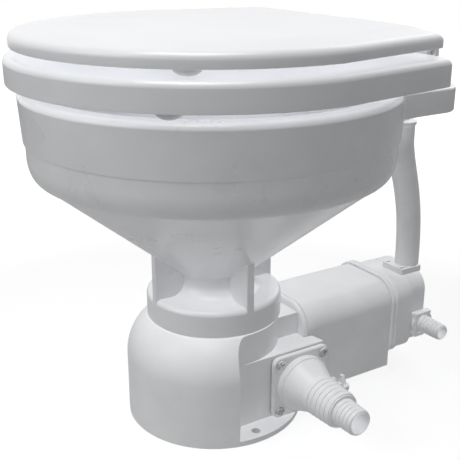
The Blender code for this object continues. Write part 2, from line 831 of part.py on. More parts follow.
def make_macerator_housing(plastic):
    """Barrel under the bowl with its inlet neck, motor block and discharge chamber."""
    centre = (0, 0, shaft_height)
    barrel = turned("macerator_housing", rod_profile(barrel_radius, barrel_front, block_rear),
                    centre, y_axis, plastic, port_steps)
    neck_top = deck_height - deck_thickness - gap
    bolt_room = bowl_bolt_head + gap
    neck = turned("housing_neck", rod_profile(inlet_neck_radius, shaft_height, neck_top),
                  (0, 0, 0), z_axis, steps=port_steps)
    block_part = block("housing_block", (-block_half_width, block_front, foot_thickness + gap),
                       (block_half_width, block_rear, block_top))
    chamber = prism("housing_chamber", chamber_outline(), foot_thickness + gap, chamber_top)
    fuse(barrel, block_part, chamber, neck)
    bore = turned("housing_bore", rod_profile(barrel_bore, barrel_front + barrel_wall,
                                              block_rear + cut_over), centre, y_axis,
                  steps=port_steps)
    mouth = turned("housing_mouth", rod_profile(inlet_bore_radius, shaft_height,
                                                neck_top + cut_over), (0, 0, 0), z_axis,
                   steps=port_steps)
    valve_seat = chamber_side - valve_flange - gap
    way = turned("housing_way", [(0, 0), (port_mouth - valve_wall, 0),
                                 (port_mouth - valve_wall, valve_seat),
                                 (port_mouth + gap, valve_seat),
                                 (port_mouth + gap, chamber_side + cut_over),
                                 (0, chamber_side + cut_over)],
                 (0, port_y, port_z), x_axis, steps=port_steps)
    cut(barrel, bore, mouth, way)
    for x, y in bolt_places():
        cut(barrel, turned("bolt_room", rod_profile(bolt_room, neck_top - 2 * bowl_bolt_head_height,
                                                    neck_top + cut_over), (x, y, 0), z_axis))
    for y, z in port_screw_places():
        cut(barrel, turned("port_screw_hole", rod_profile(screw_radius + gap, -3 * cut_over,
                                                          cut_over), (chamber_side, y, z), x_axis,
                           steps=small_steps // 2))
    return barrel


def port_screw_places():
    """Places of the four screws round the discharge port."""
    return [(port_y + side_y * port_screw_spacing, port_z + side_z * port_screw_spacing)
            for side_y in (-1, 1) for side_z in (-1, 1)]


def make_macerator_parts(steel, plastic):
    """Fixed chopper plate, and the blade and waste impeller that turn with the shaft."""
    centre = Vector((0, 0, shaft_height))
    plate_place = blade_place + blade_thickness + running_gap
    plate = turned("chopper_plate", ring_profile(hub_radius, barrel_bore - gap, 0,
                                                 chopper_plate_thickness),
                   centre + y_axis * plate_place, y_axis, steel, port_steps)
    for turn in spin_copies(chopper_holes):
        turn += math.pi / chopper_holes
        hole = turned("chopper_hole", rod_profile(chopper_hole_radius, -cut_over, 2 * cut_over),
                      (chopper_hole_ring * math.cos(turn), plate_place,
                       shaft_height + chopper_hole_ring * math.sin(turn)), y_axis,
                      steps=small_steps // 2)
        cut(plate, hole)
    blade = turned("macerator_blade", rod_profile(hub_radius - running_gap, 0, blade_thickness),
                   centre + y_axis * blade_place, y_axis, steel)
    bar = prism("blade_bar", rounded_square(blade_half_length, blade_width / 2, blade_width / 3,
                                            (0, shaft_height)),
                blade_place, blade_place + blade_thickness, "XZ")
    fuse(blade, bar)
    cut(blade, shaft_hole(blade_place))
    wheel_place = plate_place + chopper_plate_thickness + running_gap
    vane_top = wheel_place + waste_vane_height
    wheel = turned("waste_impeller", rod_profile(waste_impeller_radius, vane_top,
                                                 vane_top + waste_impeller_back),
                   centre, y_axis, plastic, port_steps)
    hub = turned("impeller_hub", rod_profile(hub_radius - running_gap, wheel_place + running_gap,
                                             vane_top + running_gap), centre, y_axis)
    fuse(wheel, hub)
    root = hub_radius / 2
    reach = waste_impeller_radius - running_gap
    for turn in spin_copies(waste_vanes):
        vane = prism("waste_vane", rounded_square((reach - root) / 2, waste_vane_thickness / 2,
                                                  waste_vane_thickness / 3,
                                                  ((reach + root) / 2, 0), 1),
                     wheel_place + 2 * running_gap, vane_top + running_gap, "XZ")
        vane.location.z = shaft_height
        vane.rotation_euler.y = turn
        fuse(wheel, vane)
    cut(wheel, shaft_hole(wheel_place))
    return blade, wheel


def shaft_hole(start, length=None):
    """Cutter for the shaft's hole in a wheel, blade or wall."""
    length = waste_vane_height + waste_impeller_back if length is None else length
    return turned("shaft_hole", rod_profile(shaft_radius + gap, -cut_over, length + cut_over),
                  (0, start, shaft_height), y_axis)


def make_discharge(plastic, rubber, steel):
    """Discharge port with its gasket, one-way valve and four screws."""
    plan = rounded_square(plate_half, plate_half, plate_corner, (port_y, port_z))
    port = prism("discharge_port", plan, plate_back, plate_face, "YZ", plastic)
    cone_start = port_lip_length
    barb_start = cone_start + port_cone_length
    step = barb_start + large_barb_length
    tip = step + small_barb_length
    profile = [(0, -plate_thickness / 2), (port_lip_radius, -plate_thickness / 2),
               (port_lip_radius, cone_start)]
    profile += barb_profile(barb_start, step, port_throat_radius, large_barb_tip + barb_depth,
                            large_barbs)
    profile += barb_profile(step, tip, small_barb_start + barb_depth / 2,
                            small_barb_tip + barb_depth, small_barbs)
    profile.append((0, tip))
    fuse(port, turned("port_spout", profile, (plate_face, port_y, port_z), x_axis,
                      steps=port_steps))
    hollow = [(0, -plate_thickness - cut_over), (port_mouth, -plate_thickness - cut_over),
              (port_mouth, cone_start), (port_bore, barb_start), (port_bore, tip + cut_over),
              (0, tip + cut_over)]
    cut(port, turned("port_hollow", hollow, (plate_face, port_y, port_z), x_axis,
                     steps=port_steps))
    gasket = prism("discharge_gasket", plan, chamber_side + gap, chamber_side + gap + plate_gasket,
                   "YZ", rubber)
    cut(gasket, turned("gasket_mouth", rod_profile(port_mouth + gap, -cut_over, cut_over),
                       (chamber_side, port_y, port_z), x_axis, steps=port_steps))
    valve_tip = valve_flange + valve_length
    turned("joker_valve",
           [(valve_mouth, valve_tip), (valve_mouth + valve_wall, valve_tip),
            (port_mouth - 2 * valve_wall, valve_flange), (port_mouth, valve_flange),
            (port_mouth, 0), (port_mouth - 3 * valve_wall, 0)],
           (chamber_side - valve_flange, port_y, port_z), x_axis, rubber, port_steps)
    screw_end = -plate_thickness - 2 * cut_over
    profile = [(0, screw_end), (screw_radius, screw_end), (screw_radius, gap),
               (screw_head_radius, gap), (screw_head_radius, screw_head_height / 2),
               (screw_head_radius / 2, screw_head_height), (0, screw_head_height)]
    for number, (y, z) in enumerate(port_screw_places(), 1):
        for target in (port, gasket):
            cut(target, turned("plate_hole", rod_profile(screw_radius + gap, -2 * plate_thickness,
                                                         plate_thickness),
                               (plate_face, y, z), x_axis, steps=small_steps // 2))
        turned(f"discharge_screw_{number}", profile, (plate_face, y, z), x_axis, steel,
               small_steps // 2)


def make_motor_flange(plastic):
    """Plate between the macerator and the motor, with a spigot, a seal seat and a bearing seat."""
    section = rounded_section(flange_half_width, cover_floor - flange_lip / 2,
                              cover_top + flange_lip / 2, cover_round + flange_lip / 2)
    flange = prism("motor_flange", section, flange_front, flange_front + flange_thickness, "XZ",
                   plastic)
    centre = (0, flange_front, shaft_height)
    fuse(flange, turned("flange_spigot", rod_profile(barrel_bore - gap, -spigot_length,
                                                     flange_thickness / 2), centre, y_axis,
                        steps=port_steps))
    bearing_seat = flange_thickness - bearing_width
    seat = [(0, -spigot_length - cut_over), (seal_radius + gap, -spigot_length - cut_over),
            (seal_radius + gap, -spigot_length + seal_width + gap),
            (shaft_radius + gap, -spigot_length + seal_width + gap),
            (shaft_radius + gap, bearing_seat - gap), (bearing_radius + gap, bearing_seat - gap),
            (bearing_radius + gap, flange_thickness + cut_over), (0, flange_thickness + cut_over)]
    return cut(flange, turned("flange_seats", seat, centre, y_axis, steps=port_steps))


def make_cover(plastic):
    """Motor cover: a rounded sleeve with two fixing lugs and a hole for the gland."""
    outer = rounded_section(cover_half_width, cover_floor, cover_top, cover_round)
    inner = rounded_section(cover_half_width - cover_wall, cover_floor + cover_wall,
                            cover_top - cover_wall, cover_round - cover_wall)
    cover = prism("motor_cover", outer, cover_front, cover_rear, "XZ", plastic)
    cut(cover, prism("cover_hollow", inner, cover_front - cut_over, cover_rear + cut_over, "XZ"))
    for side in (1, -1):
        start = cover_half_width - cover_wall / 2
        end = cover_half_width + lug_reach
        lug = rounded_square((end - start) / 2, lug_length / 2, lug_length / 4,
                             (side * (start + end) / 2, lug_middle))
        fuse(cover, prism("cover_lug", lug, 0, lug_thickness))
        gusset = [(start, lug_thickness / 2), (end - lug_gusset_thickness, lug_thickness / 2),
                  (cover_half_width + lug_gusset_thickness, lug_gusset_height),
                  (start, lug_gusset_height)]
        gusset = [(side * x, z) for x, z in gusset]
        for edge in (-1, 1):
            middle = lug_middle + edge * (lug_length / 2 - lug_gusset_thickness)
            fuse(cover, prism("lug_gusset", gusset, middle - lug_gusset_thickness / 2,
                              middle + lug_gusset_thickness / 2, "XZ"))
        cut(cover, turned("lug_hole", rod_profile(lug_hole_radius, -cut_over,
                                                  lug_thickness + cut_over),
                          (side * (cover_half_width + lug_reach / 2 + cover_wall / 2),
                           lug_middle, 0), z_axis, steps=small_steps // 2))
    cut(cover, turned("gland_hole", rod_profile(gland_radius / 2 + gap, -2 * cover_wall,
                                                cover_wall),
                      (-cover_half_width, lug_middle, gland_height), -x_axis))
    return cover


def make_gland(rubber):
    """Cable gland in the far side of the cover."""
    inner = gland_radius / 2
    back = -2 * cover_wall - gap
    profile = [(gland_bore, back), (gland_radius - gap, back),
               (gland_radius - gap, -cover_wall - gap), (inner, -cover_wall - gap), (inner, gap),
               (gland_radius, gap), (gland_radius, gland_length / 3),
               (gland_nose, gland_length), (gland_bore, gland_length)]
    return turned("cable_gland", profile, (-cover_half_width, lug_middle, gland_height), -x_axis,
                  rubber)


def make_motor(steel, magnet_black, copper, lamination, carbon, plastic):
    """Permanent magnet motor: can, magnets, armature, commutator, brushes and end bell."""
    centre = Vector((0, 0, shaft_height))
    bell_front = cover_rear - end_bell_thickness
    can_rear = bell_front - gap
    inner = can_radius - can_wall
    turned("motor_can", ring_profile(inner, can_radius, cover_front, can_rear), centre,
           y_axis, steel, port_steps)
    card_front = bell_front - gap - brush_card_thickness
    bars_start = card_front - commutator_lead
    core_start = cover_front + armature_start
    core_end = bars_start - 2 * gap - winding_length
    magnet_out = inner - gap
    turned("magnet_ring", ring_profile(magnet_out - magnet_thickness, magnet_out, core_start,
                                       core_end), centre, y_axis, magnet_black, port_steps)
    armature = turned("armature", rod_profile(armature_radius - running_gap, core_start, core_end),
                      centre, y_axis, lamination, port_steps)
    for turn in spin_copies(armature_slots):
        slot = prism("armature_slot",
                     rounded_square(slot_depth, slot_width / 2, slot_width / 4,
                                    (armature_radius, 0), 1),
                     core_start - cut_over, core_end + cut_over, "XZ")
        slot.location.z = shaft_height
        slot.rotation_euler.y = turn
        cut(armature, slot)
    cut(armature, shaft_hole(core_start, core_end - core_start))
    coil_end = -gap - winding_length
    coil = [(hub_radius, -gap), (winding_radius, -gap), (winding_radius, -gap - winding_length / 2),
            (winding_radius - slot_width, coil_end), (hub_radius, coil_end)]
    windings = turned("armature_windings", coil, (0, core_start, shaft_height), y_axis, copper,
                      port_steps)
    fuse(windings, turned("rear_coil", coil, (0, core_end, shaft_height), -y_axis,
                          steps=port_steps))
    bar_reach = armature_radius - slot_depth
    for turn in spin_copies(armature_slots):
        bar = prism("coil_bar", rounded_square((winding_radius - bar_reach) / 2 - gap,
                                               slot_width / 2 - gap, slot_width / 4,
                                               ((winding_radius + bar_reach) / 2, 0), 1),
                    core_start - winding_length / 2, core_end + winding_length / 2, "XZ")
        bar.location.z = shaft_height
        bar.rotation_euler.y = turn
        fuse(windings, bar)
    commutator = turned("commutator", ring_profile(shaft_radius + gap, commutator_radius,
                                                   bars_start, bars_start + commutator_length),
                        centre, y_axis, copper, port_steps)
    for turn in spin_copies(commutator_bars):
        slit = prism("commutator_slit",
                     rounded_square(bar_slit * 2, bar_slit / 2, bar_slit / 4,
                                    (commutator_radius, 0), 1),
                     bars_start - cut_over, bars_start + commutator_length + cut_over, "XZ")
        slit.location.z = shaft_height
        slit.rotation_euler.y = turn + math.pi / commutator_bars
        cut(commutator, slit)
    card = turned("brush_card", ring_profile(commutator_radius + gap, inner - gap, card_front,
                                             bell_front - gap), centre, y_axis, plastic,
                  port_steps)
    brush_low = commutator_radius + running_gap
    brush_high = brush_low + brush_length
    half = brush_width / 2
    for side, number in ((1, 1), (-1, 2)):
        cut(card, block("brush_window",
                        (side * (brush_low - cut_over), card_front - cut_over,
                         shaft_height - half - gap),
                        (side * (brush_high + gap), bell_front + cut_over,
                         shaft_height + half + gap)))
        block(f"motor_brush_{number}", (side * brush_low, card_front, shaft_height - half),
              (side * brush_high, bell_front - gap, shaft_height + half), carbon)
    bell_seat = end_bell_thickness - bearing_width
    turned("motor_end_bell",
           [(shaft_radius + gap, 0), (can_radius, 0), (can_radius, end_bell_thickness),
            (bearing_radius + gap, end_bell_thickness), (bearing_radius + gap, bell_seat),
            (shaft_radius + gap, bell_seat)],
           (0, bell_front, shaft_height), y_axis, steel, port_steps)
    return armature, windings, commutator


def make_shaft_parts(steel, rubber):
    """The one shaft, its two ball bearings and its two lip seals."""
    centre = Vector((0, 0, shaft_height))
    shaft = turned("motor_shaft", rod_profile(shaft_radius, shaft_start, pump_rear - 2 * gap),
                   centre, y_axis, steel)
    bearing_seats = {"front": flange_front + flange_thickness - bearing_width,
                     "rear": cover_rear - bearing_width + gap}
    for name, start in bearing_seats.items():
        turned("bearing_" + name, ring_profile(shaft_radius + gap, bearing_radius, 0,
                                               bearing_width - gap),
               (0, start, shaft_height), y_axis, steel)
    seal_seats = {"front": flange_front - spigot_length, "rear": pump_flange_front + gap}
    for name, start in seal_seats.items():
        turned("shaft_seal_" + name, ring_profile(shaft_radius + gap, seal_radius, 0, seal_width),
               (0, start, shaft_height), y_axis, rubber)
    return shaft


def pump_screw_places():
    """Places of the four screws that hold the pump head together."""
    middle = (cover_top + pump_floor) / 2
    return [(side_x * pump_screw_x, middle + side_z * pump_screw_rise)
            for side_x in (-1, 1) for side_z in (-1, 1)]


def make_pump(plastic, rubber, steel):
    """Pump head: mounting flange, body with its chamber, end cover, impeller, seal and screws."""
    flange_section = rounded_section(pump_flange_half, pump_floor + pump_flange_rise,
                                     cover_top + pump_flange_lip, cover_round + pump_flange_lip,
                                     pump_low_round)
    flange = prism("pump_flange", flange_section, pump_flange_front, pump_front - gap, "XZ",
                   plastic)
    seat_end = seal_width + 2 * gap
    far_end = pump_flange_thickness + cut_over
    seat = [(0, -cut_over), (seal_radius + gap, -cut_over), (seal_radius + gap, seat_end),
            (shaft_radius + gap, seat_end), (shaft_radius + gap, far_end), (0, far_end)]
    cut(flange, turned("pump_flange_seat", seat, (0, pump_flange_front, shaft_height), y_axis,
                       steps=port_steps))
    body = prism("pump_body", rounded_section(pump_half_width, pump_floor, cover_top,
                                              cover_round, pump_low_round),
                 pump_front, pump_rear, "XZ", plastic)
    wall = pump_flange_thickness / 2
    cut(body, turned("pump_chamber", rod_profile(pump_chamber_radius, wall,
                                                 pump_length + cut_over),
                     (0, pump_front, shaft_height), y_axis, steps=port_steps))
    cut(body, shaft_hole(pump_front, wall))
    end = prism("pump_end_cover", rounded_section(end_half_width, pump_floor + end_inset, cover_top,
                                                  cover_round - end_inset, pump_low_round),
                end_front, end_rear, "XZ", plastic)
    vane_start = pump_front + wall + running_gap
    vane_end = pump_rear - running_gap
    wheel = turned("rinse_impeller", rod_profile(rinse_hub_radius, vane_start, vane_end),
                   (0, 0, shaft_height), y_axis, rubber)
    chamber_flats = pump_chamber_radius * math.cos(math.pi / port_steps)
    reach = chamber_flats - running_gap - rinse_vane_tip
    root = rinse_hub_radius / 2
    for turn in spin_copies(rinse_vanes):
        vane = prism("rinse_vane", rounded_square((reach - root) / 2, rinse_vane_thickness / 2,
                                                  rinse_vane_thickness / 3,
                                                  ((reach + root) / 2, 0), 1),
                     vane_start + gap, vane_end - gap, "XZ")
        tip = turned("rinse_tip", rod_profile(rinse_vane_tip, vane_start + gap / 2,
                                              vane_end - gap / 2),
                     (reach * math.cos(turn), 0, -reach * math.sin(turn) + shaft_height), y_axis,
                     steps=small_steps // 2)
        vane.location.z = shaft_height
        vane.rotation_euler.y = turn
        fuse(wheel, vane, tip)
    cut(wheel, shaft_hole(vane_start, vane_end - vane_start))
    way = cover_way_radius
    link = end_length / 2 + way
    intake_way = turned("intake_way", rod_profile(way, -cover_way_inset - way, cut_over),
                        (end_half_width, intake_y, intake_z), x_axis)
    intake_link = turned("intake_link", rod_profile(way - band_step, -cut_over, link),
                         (end_half_width - cover_way_inset, end_front, intake_z), y_axis)
    outlet_way = turned("outlet_way", rod_profile(way, shaft_height + outlet_link_rise - way,
                                                  cover_top + cut_over),
                        (outlet_x, outlet_y, 0), z_axis)
    outlet_link = turned("outlet_link", rod_profile(way - band_step, -cut_over, link),
                         (outlet_x, end_front, shaft_height + outlet_link_rise), y_axis)
    cut(end, intake_way, intake_link, outlet_way, outlet_link)
    head_foot = end_rear + gap
    head_top = head_foot + pump_screw_head_height
    profile = [(0, pump_front - cut_over), (pump_screw_radius, pump_front - cut_over),
               (pump_screw_radius, head_foot), (pump_screw_head, head_foot),
               (pump_screw_head, head_top), (0, head_top)]
    for number, (x, z) in enumerate(pump_screw_places(), 1):
        for target in (body, end, flange):
            cut(target, turned("pump_screw_hole",
                               rod_profile(pump_screw_radius + gap, pump_front - 2 * cut_over,
                                           end_rear + cut_over), (x, 0, z), y_axis,
                               steps=small_steps // 2))
        turned(f"pump_screw_{number}", profile, (x, 0, z), y_axis, steel, small_steps // 2)
    return wheel


def make_intake(plastic):
    """Intake port: a square block against the end cover, and a hose barb."""
    start = end_half_width + gap
    face = start + intake_block
    port = prism("intake_port", rounded_square(intake_half_y, intake_half_z, band_step,
                                               (intake_y, intake_z), 1), start, face, "YZ", plastic)
    tip = intake_barb_length
    profile = [(0, -band_step), (intake_collar_radius, -band_step),
               (intake_collar_radius, intake_collar_length)]
    profile += barb_profile(intake_collar_length, tip, intake_barb_start, intake_barb_tip,
                            intake_barbs)
    profile.append((0, tip))
    fuse(port, turned("intake_barb", profile, (face, intake_y, intake_z), x_axis,
                      steps=port_steps))
    return cut(port, turned("intake_hollow", rod_profile(intake_bore, -3 * intake_block,
                                                         tip + cut_over),
                            (face, intake_y, intake_z), x_axis, steps=port_steps))


def make_outlet(plastic):
    """Outlet fitting on top of the end cover, with a barb for the rinse hose."""
    foot = cover_top + gap
    fitting = prism("outlet_fitting", rounded_square(outlet_half_x, outlet_half_y, band_step,
                                                     (outlet_x - outlet_foot_side,
                                                      outlet_y - outlet_foot_lead), 1),
                    foot, foot + outlet_height, "XY", plastic)
    tip = outlet_height + outlet_barb_length
    profile = [(0, outlet_height / 2), (hose_barb - barb_depth, outlet_height / 2)]
    profile += barb_profile(outlet_height + gap, tip, hose_barb, hose_barb - gap,
                            outlet_barbs)
    profile.append((0, tip))
    fuse(fitting, turned("outlet_barb", profile, (outlet_x, outlet_y, foot), z_axis,
                         steps=port_steps))
    return cut(fitting, turned("outlet_hollow", rod_profile(intake_bore, -cut_over,
                                                            tip + cut_over),
                               (outlet_x, outlet_y, foot), z_axis, steps=port_steps))


def make_inlet_spigot(plastic):
    """Spigot in the underside of the shelf that takes the rinse hose."""
    collar_top = -spigot_drop + spigot_collar_thickness
    tip = -spigot_drop - spigot_barb_length
    profile = [(spigot_bore, tip), (hose_barb - barb_depth, tip),
               (hose_barb, -spigot_drop - gap), (spigot_collar_radius, -spigot_drop),
               (spigot_collar_radius, collar_top), (spigot_radius, collar_top),
               (spigot_radius, socket_depth), (spigot_bore, socket_depth)]
    return turned("inlet_spigot", profile, (inlet_x, inlet_y, shelf_bottom), z_axis, plastic,
                  port_steps)


def hose_route():
    """Centre line of the rinse hose: straight off the pump's barb, over, and up to the spigot."""
    foot = Vector((outlet_x, outlet_y, cover_top + gap + outlet_height + gap))
    head = Vector((inlet_x, inlet_y, shelf_bottom - spigot_drop - gap))
    low = foot + z_axis * outlet_barb_length
    high = head - z_axis * spigot_barb_length
    low_pull = low + z_axis * hose_low_pull
    high_pull = high - z_axis * hose_high_pull
    points = [foot]
    for i in range(hose_rings + 1):
        t = i / hose_rings
        points.append(low * (1 - t) ** 3 + low_pull * 3 * t * (1 - t) ** 2
                      + high_pull * 3 * t * t * (1 - t) + high * t ** 3)
    return points + [head]


def tube(name, points, radius, resolution, finish=None):
    """A curve with a round section and filled caps."""
    curve = bpy.data.curves.new(name, "CURVE")
    curve.dimensions = "3D"
    curve.bevel_depth = radius
    curve.bevel_resolution = resolution
    curve.use_fill_caps = True
    spline = curve.splines.new("POLY")
    spline.points.add(len(points) - 1)
    for target, point in zip(spline.points, points):
        target.co = (*point, 1)
    made = bpy.data.objects.new(name, curve)
    bpy.context.scene.collection.objects.link(made)
    mesh = bpy.data.meshes.new_from_object(made.evaluated_get(
        bpy.context.evaluated_depsgraph_get()))
    bpy.data.objects.remove(made, do_unlink=True)
    bm = bmesh.new()
    bm.from_mesh(mesh)
    return make_object(name, bm, finish)


def make_hose(vinyl):
    """Rinse hose, bored through."""
    points = hose_route()
    hose = tube("rinse_hose", points, hose_radius, 4, vinyl)
    beyond = [points[0] - z_axis * cut_over] + points + [points[-1] + z_axis * cut_over]
    return cut(hose, tube("hose_bore", beyond, hose_bore, 4))


def make_seat(enamel):
    """Seat ring: a D-shaped board with an oval opening and rounded edges."""
    flat = seat_top - seat_round

    def outline(inset):
        return board_outline(seat_radius, seat_rear, seat_rear_half, seat_corner, inset)

    rounding = [(seat_round * (1 - math.cos(turn)), flat + seat_round * math.sin(turn))
                for turn in (math.pi / 6, math.pi / 3, math.pi / 2)]
    base = outline(0)
    loops = [(base, seat_bottom), (base, flat)]
    loops += [(outline(inset), height) for inset, height in rounding]
    loops += [(opening_outline(base, inset), height) for inset, height in reversed(rounding)]
    loops += [(opening_outline(base), flat), (opening_outline(base), seat_bottom)]
    return make_object("seat", loft_mesh(loops, True), enamel)


def make_lid(enamel):
    """Lid: a D-shaped board with rounded edges, sloping up to a flat crown."""
    flat = lid_shoulder - lid_round

    def outline(inset):
        return board_outline(lid_radius, lid_rear, lid_rear_half, seat_corner, inset)

    crown = board_outline(crown_radius, lid_rear - lid_round, crown_rear_half, seat_corner / 2)
    loops = [(outline(0), lid_bottom), (outline(0), flat)]
    for turn in (math.pi / 6, math.pi / 3, math.pi / 2):
        loops.append((outline(lid_round * (1 - math.cos(turn))), flat + lid_round * math.sin(turn)))
    loops.append((crown, lid_top))
    return make_object("lid", loft_mesh(loops, False), enamel)


def make_bumpers(name, reach, angle, low, high, rubber):
    """Two round domed bumpers under the front of a board."""
    dome = [(bumper_radius * math.sin(turn), high - (high - low) * math.cos(turn))
            for turn in (math.pi / 2 * i / 5 for i in range(6))]
    return [turned(f"{name}_{number}", dome + [(0, high)],
                   (reach * math.cos(turn), reach * math.sin(turn), 0), z_axis, rubber, port_steps)
            for number, turn in enumerate((angle, math.pi - angle), 1)]


def knuckle(start, end, steps=8):
    """Arc of a hinge knuckle, as points in Y and Z."""
    return arc((hinge_back, hinge_height), knuckle_radius, start, end, steps)


def seat_leaf_outline():
    """Side view of a leaf under the seat, up to its knuckle behind the seat."""
    top = seat_bottom - gap
    low = top - leaf_thickness
    front = seat_rear - leaf_reach
    return [(front, low), (hinge_back - post_half_depth, low),
            (hinge_back + knuckle_radius / 2, hinge_height - 2 * knuckle_radius),
            *knuckle(0, math.pi),
            (hinge_back - knuckle_radius, seat_bottom + seat_lift), (seat_rear + band_step, top),
            (front, top)]


def lid_leaf_outline():
    """Side view of a leaf under the lid, back to its knuckle behind the lid."""
    top = lid_bottom - gap
    front = lid_rear - leaf_reach
    return [(front, top - leaf_thickness), (hinge_back - knuckle_radius, top - leaf_thickness),
            *knuckle(math.pi * 1.1, math.tau + math.pi * 2 / 3), (front, top)]


def make_hinge_yoke(name, outline, inner, outer, top, plastic):
    """Two leaves on the hinge rod, joined by a cross bar under the board."""
    yoke = prism(name, outline, inner, outer, "YZ", plastic)
    fuse(yoke, prism("far_leaf", outline, -outer, -inner, "YZ"),
         block("cross_bar", (-outer + gap, yoke_front, top - leaf_thickness + gap),
               (outer - gap, yoke_front + yoke_depth, top - gap)))
    return cut(yoke, rod_hole(outer))


def rod_hole(reach):
    """Cutter for the hinge rod's hole."""
    return turned("rod_hole", rod_profile(hinge_pin_radius + gap, -reach - cut_over,
                                          reach + cut_over), (0, hinge_back, hinge_height), x_axis)


def make_hinges(steel, plastic):
    """Posts on the shelf with their nuts, the rod, and the yokes under the seat and the lid."""
    post_foot = rim_height + gap
    post_outer = post_inner + post_width
    profile = [(hinge_back - post_half_depth, post_foot), (hinge_back + post_half_depth, post_foot),
               *knuckle(0, math.pi)]
    nut_top = shelf_bottom + hinge_nut_recess - gap
    nut_foot = nut_top - hinge_nut_height
    for side, number in ((1, 1), (-1, 2)):
        stud_x = side * (post_inner + post_width / 2)
        post = prism(f"hinge_post_{number}", profile, side * post_inner, side * post_outer, "YZ",
                     plastic)
        stud = turned("hinge_stud", rod_profile(hinge_stud_radius, nut_foot,
                                                post_foot + hinge_stud_sink),
                      (stud_x, hinge_back, 0), z_axis)
        fuse(post, stud)
        cut(post, rod_hole(post_outer))
        turned(f"hinge_nut_{number}", ring_profile(hinge_stud_radius + gap, hinge_nut_radius,
                                                   nut_foot, nut_top),
               (stud_x, hinge_back, 0), z_axis, steel)
    turned("hinge_rod", rod_profile(hinge_pin_radius, -post_outer, post_outer),
           (0, hinge_back, hinge_height), x_axis, steel)
    seat_outer = post_inner - gap
    lid_outer = seat_outer - leaf_width - gap
    seat_yoke = make_hinge_yoke("seat_hinge", seat_leaf_outline(), seat_outer - leaf_width,
                                seat_outer, seat_bottom - gap, plastic)
    lid_yoke = make_hinge_yoke("lid_hinge", lid_leaf_outline(), lid_outer - leaf_width, lid_outer,
                               lid_bottom - gap, plastic)
    return seat_yoke, lid_yoke


def build():
    """Make every piece and group the moving ones on their joints."""
    clear_scene()
    white_plastic = make_finish("white_plastic", (0.78, 0.79, 0.80), 0.35)
    china = make_finish("china", (0.86, 0.87, 0.88), 0.08)
    enamel = make_finish("enamel", (0.88, 0.88, 0.89), 0.2)
    rubber = make_finish("rubber", (0.05, 0.05, 0.055), 0.7)
    pale_rubber = make_finish("pale_rubber", (0.6, 0.61, 0.62), 0.6)
    vinyl = make_finish("vinyl", (0.7, 0.71, 0.72), 0.4)
    stainless = make_finish("stainless", (0.6, 0.61, 0.62), 0.25, 1.0)
    dark_steel = make_finish("dark_steel", (0.2, 0.21, 0.22), 0.4, 1.0)
    lamination = make_finish("lamination", (0.3, 0.3, 0.31), 0.45, 1.0)
    magnet_black = make_finish("magnet_black", (0.08, 0.08, 0.085), 0.6)
    copper = make_finish("copper", (0.72, 0.35, 0.2), 0.35, 1.0)
    carbon = make_finish("carbon", (0.03, 0.03, 0.03), 0.7)

    make_base(white_plastic)
    make_bowl(china)
    make_bowl_fixings(pale_rubber, stainless)
    make_macerator_housing(white_plastic)
    blade, waste_impeller = make_macerator_parts(stainless, white_plastic)
    make_discharge(white_plastic, pale_rubber, stainless)
    make_motor_flange(white_plastic)
    make_cover(white_plastic)
    make_gland(rubber)
    rotor = make_motor(dark_steel, magnet_black, copper, lamination, carbon, white_plastic)
    shaft = make_shaft_parts(stainless, rubber)
    rinse_impeller = make_pump(white_plastic, rubber, stainless)
    make_intake(white_plastic)
    make_outlet(white_plastic)
    make_inlet_spigot(white_plastic)
    make_hose(vinyl)
    seat = make_seat(enamel)
    lid = make_lid(enamel)
    seat_bumpers = make_bumpers("seat_bumper", seat_radius - seat_bumper_inset, seat_bumper_angle,
                                rim_height + gap, seat_bottom - gap, pale_rubber)
    lid_bumpers = make_bumpers("lid_bumper", lid_radius - lid_bumper_inset, lid_bumper_angle,
                               seat_top + gap, lid_bottom - gap, pale_rubber)
    seat_hinge, lid_hinge = make_hinges(stainless, white_plastic)

    hinge_line = (0, hinge_back, hinge_height)
    hang_on(hinge_group("seat_hinge_axis", hinge_line), seat, seat_hinge, *seat_bumpers)
    hang_on(hinge_group("lid_hinge_axis", hinge_line), lid, lid_hinge, *lid_bumpers)
    hang_on(hinge_group("rotor_axis", (0, 0, shaft_height)), shaft, blade, waste_impeller,
            rinse_impeller, *rotor)


build()
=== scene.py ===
# Electric marine toilet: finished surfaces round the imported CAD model.
# Lengths are in metres, in the CAD frame: X to the discharge side, Y to the rear, Z up.
import json
import math
from types import SimpleNamespace

import bmesh
import bpy
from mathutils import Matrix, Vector


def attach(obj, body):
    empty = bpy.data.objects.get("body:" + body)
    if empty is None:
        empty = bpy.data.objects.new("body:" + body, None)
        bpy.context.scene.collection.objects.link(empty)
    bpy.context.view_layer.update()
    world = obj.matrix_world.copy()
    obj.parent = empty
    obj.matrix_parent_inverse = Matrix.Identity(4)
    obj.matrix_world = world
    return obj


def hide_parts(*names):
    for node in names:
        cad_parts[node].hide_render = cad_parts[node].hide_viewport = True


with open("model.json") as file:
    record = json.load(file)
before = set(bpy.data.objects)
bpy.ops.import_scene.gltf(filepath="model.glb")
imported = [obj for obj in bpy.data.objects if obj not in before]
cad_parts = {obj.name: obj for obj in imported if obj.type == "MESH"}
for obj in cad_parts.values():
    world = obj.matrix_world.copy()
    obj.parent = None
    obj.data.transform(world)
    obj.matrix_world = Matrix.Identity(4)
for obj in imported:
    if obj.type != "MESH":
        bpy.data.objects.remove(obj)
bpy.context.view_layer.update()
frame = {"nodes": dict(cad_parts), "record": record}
nodes = frame["nodes"]
weld = 0.00001  # points closer than this are one
overrun = 0.003  # how far a cutter runs past what it cuts
print("frame loaded:", len(nodes), "nodes")


# helpers for modelling by hand, with operators
def clearSelection():
    if bpy.context.object and bpy.context.object.mode != "OBJECT":
        bpy.ops.object.mode_set(mode="OBJECT")
    bpy.ops.object.select_all(action="DESELECT")


